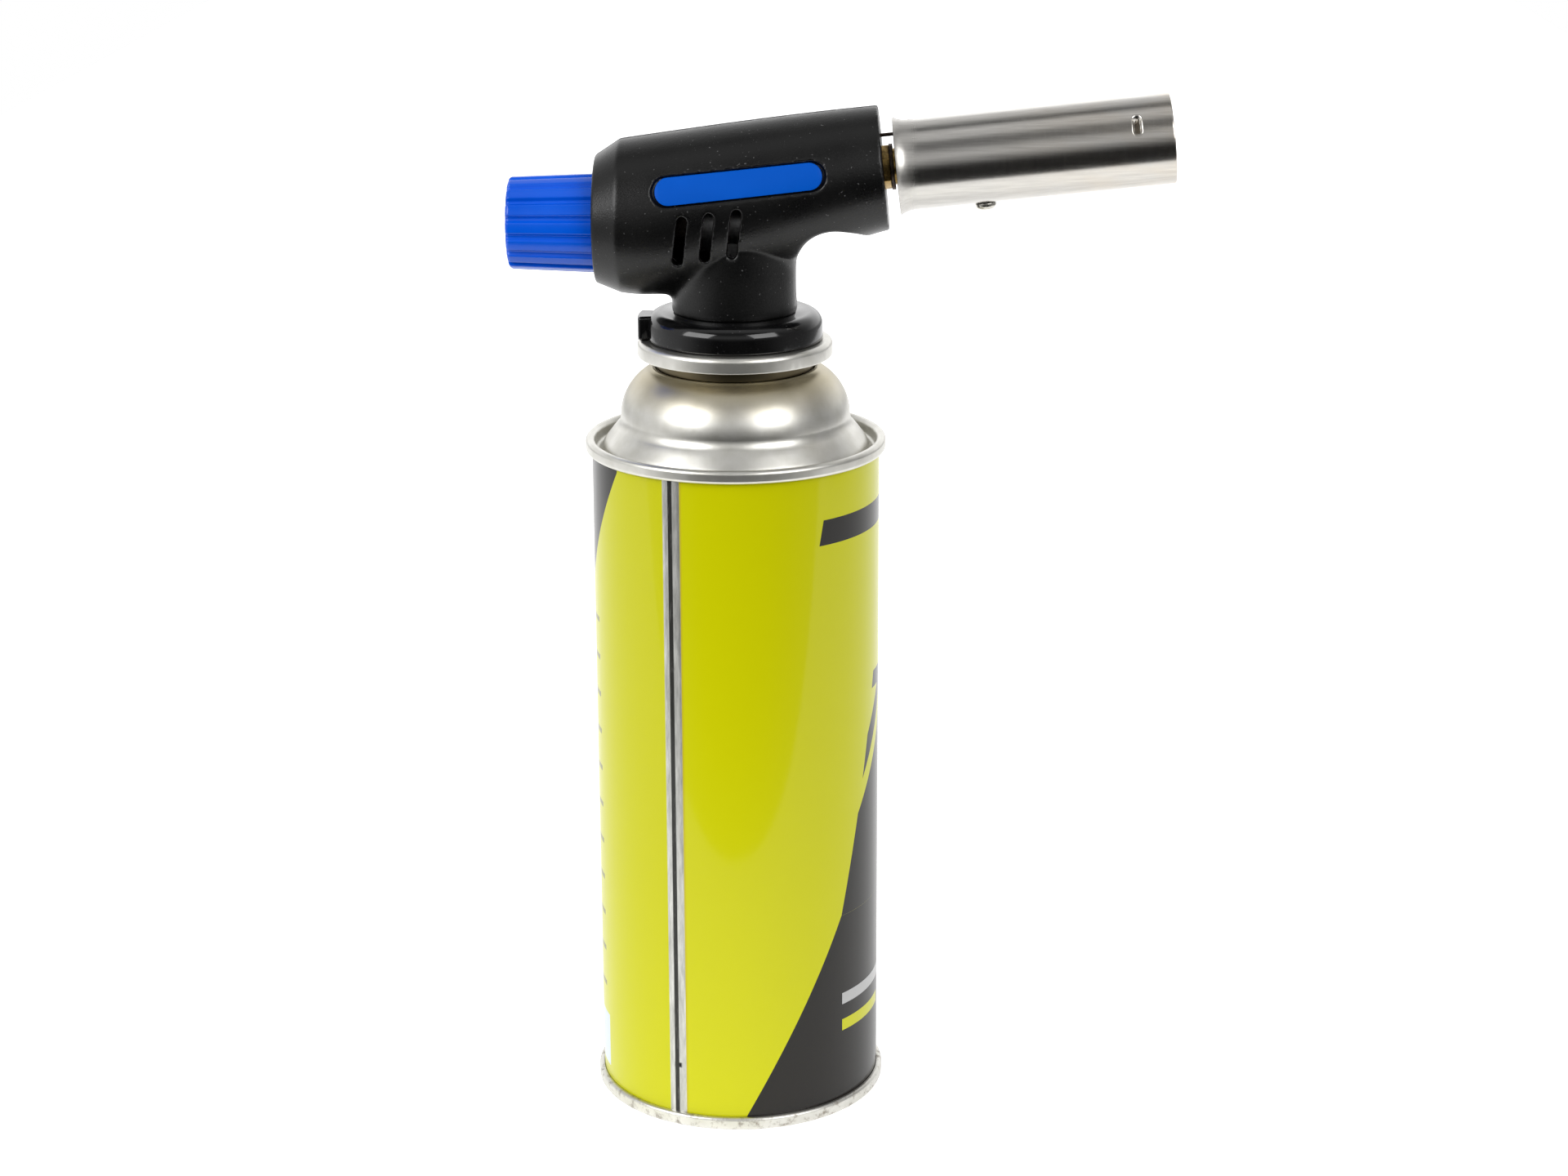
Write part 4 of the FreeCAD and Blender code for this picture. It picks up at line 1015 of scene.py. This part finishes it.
def studio():
    """White backdrop seen directly, with a darker room on the camera's side for reflections."""
    world = bpy.data.worlds.new("studio")
    world.use_nodes = True
    tree = world.node_tree
    tree.nodes.clear()
    out = tree.nodes.new("ShaderNodeOutputWorld")
    coords = tree.nodes.new("ShaderNodeTexCoord")
    split = tree.nodes.new("ShaderNodeSeparateXYZ")
    tree.links.new(coords.outputs["Generated"], split.inputs[0])

    def ramp(source, stops):
        node = tree.nodes.new("ShaderNodeValToRGB")
        tree.links.new(source, node.inputs[0])
        while len(node.color_ramp.elements) < len(stops):
            node.color_ramp.elements.new(0.5)
        for element, (position, value) in zip(node.color_ramp.elements, stops):
            element.position = position
            element.color = (value, value, value, 1)
        return node.outputs[0]

    def half(socket):
        node = tree.nodes.new("ShaderNodeMapRange")
        node.inputs["From Min"].default_value = -1
        node.inputs["From Max"].default_value = 1
        tree.links.new(socket, node.inputs[0])
        return node.outputs[0]

    # degrees over the head from the camera's horizon, from -180 through 0 (front) and 90 (straight up)
    forward = tree.nodes.new("ShaderNodeMath")
    forward.operation = "MULTIPLY"
    forward.inputs[1].default_value = -1
    tree.links.new(split.outputs[1], forward.inputs[0])
    rise = tree.nodes.new("ShaderNodeMath")
    rise.operation = "ARCTAN2"
    tree.links.new(split.outputs[2], rise.inputs[0])
    tree.links.new(forward.outputs[0], rise.inputs[1])
    turn = tree.nodes.new("ShaderNodeMapRange")
    turn.inputs["From Min"].default_value = -math.pi
    turn.inputs["From Max"].default_value = math.pi
    tree.links.new(rise.outputs[0], turn.inputs[0])
    # that angle and the room's brightness there
    bands = ((-180, 0.6), (-100, 0.3), (-70, 0.012), (-9, 0.012), (-3, 0.06), (8, 0.30), (20, 0.62))
    bands += ((33, 0.46), (44, 0.17), (59, 0.20), (72, 0.66), (90, 0.74), (104, 0.08), (122, 0.62))
    bands += ((148, 1.0), (157, 1.6), (174, 1.6), (180, 0.9))
    arch = ramp(turn.outputs[0], [((degrees + 180) / 360, value) for degrees, value in bands])
    # from left to right: how far the bright wings take over, and how bright each of them is
    wing_stops = ((0.02, 1.0), (0.16, 0.25), (0.30, 0.0), (0.70, 0.0), (0.84, 0.25), (0.98, 1.0))
    wings = ramp(half(split.outputs[0]), wing_stops)
    mix = tree.nodes.new("ShaderNodeMix")
    mix.data_type = "RGBA"
    wing_tone = ramp(half(split.outputs[0]), ((0.45, 0.75), (0.55, 0.26)))
    tree.links.new(wing_tone, mix.inputs[7])
    tree.links.new(wings, mix.inputs[0])
    tree.links.new(arch, mix.inputs[6])
    unseen = tree.nodes.new("ShaderNodeBackground")
    tree.links.new(mix.outputs[2], unseen.inputs[0])
    seen = tree.nodes.new("ShaderNodeBackground")
    seen.inputs[0].default_value = (1, 1, 1, 1)
    seen.inputs[1].default_value = 1.0
    path = tree.nodes.new("ShaderNodeLightPath")
    choose = tree.nodes.new("ShaderNodeMixShader")
    tree.links.new(path.outputs["Is Camera Ray"], choose.inputs[0])
    tree.links.new(unseen.outputs[0], choose.inputs[1])
    tree.links.new(seen.outputs[0], choose.inputs[2])
    tree.links.new(choose.outputs[0], out.inputs[0])
    bpy.context.scene.world = world
    aim = (0.0, 0.0, 0.15)
    softbox("left_box", (-0.87, -0.73, 0.80), aim, (0.85, 0.75), 10.5)
    softbox("right_box", (0.78, -0.82, 0.80), aim, (0.75, 0.75), 8)


def camera():
    """Long lens a little above the head, looking slightly down, as a catalogue picture is taken."""
    data = bpy.data.cameras.new("camera")
    data.sensor_width = 36.0
    data.lens = 73.57
    data.clip_start = 0.01
    view = bpy.data.objects.new("camera", data)
    view.location = (0.0358, -0.7071, 0.33445)
    look_down, swing, roll = 16.78, 2.02, -0.2
    aim = Euler((math.radians(90 - look_down), 0, math.radians(swing))).to_matrix()
    view.rotation_euler = (aim @ Matrix.Rotation(math.radians(roll), 3, "Z")).to_euler()
    bpy.context.scene.collection.objects.link(view)
    bpy.context.scene.camera = view


stage()
studio()
camera()
bpy.context.scene.view_settings.view_transform = "Standard"
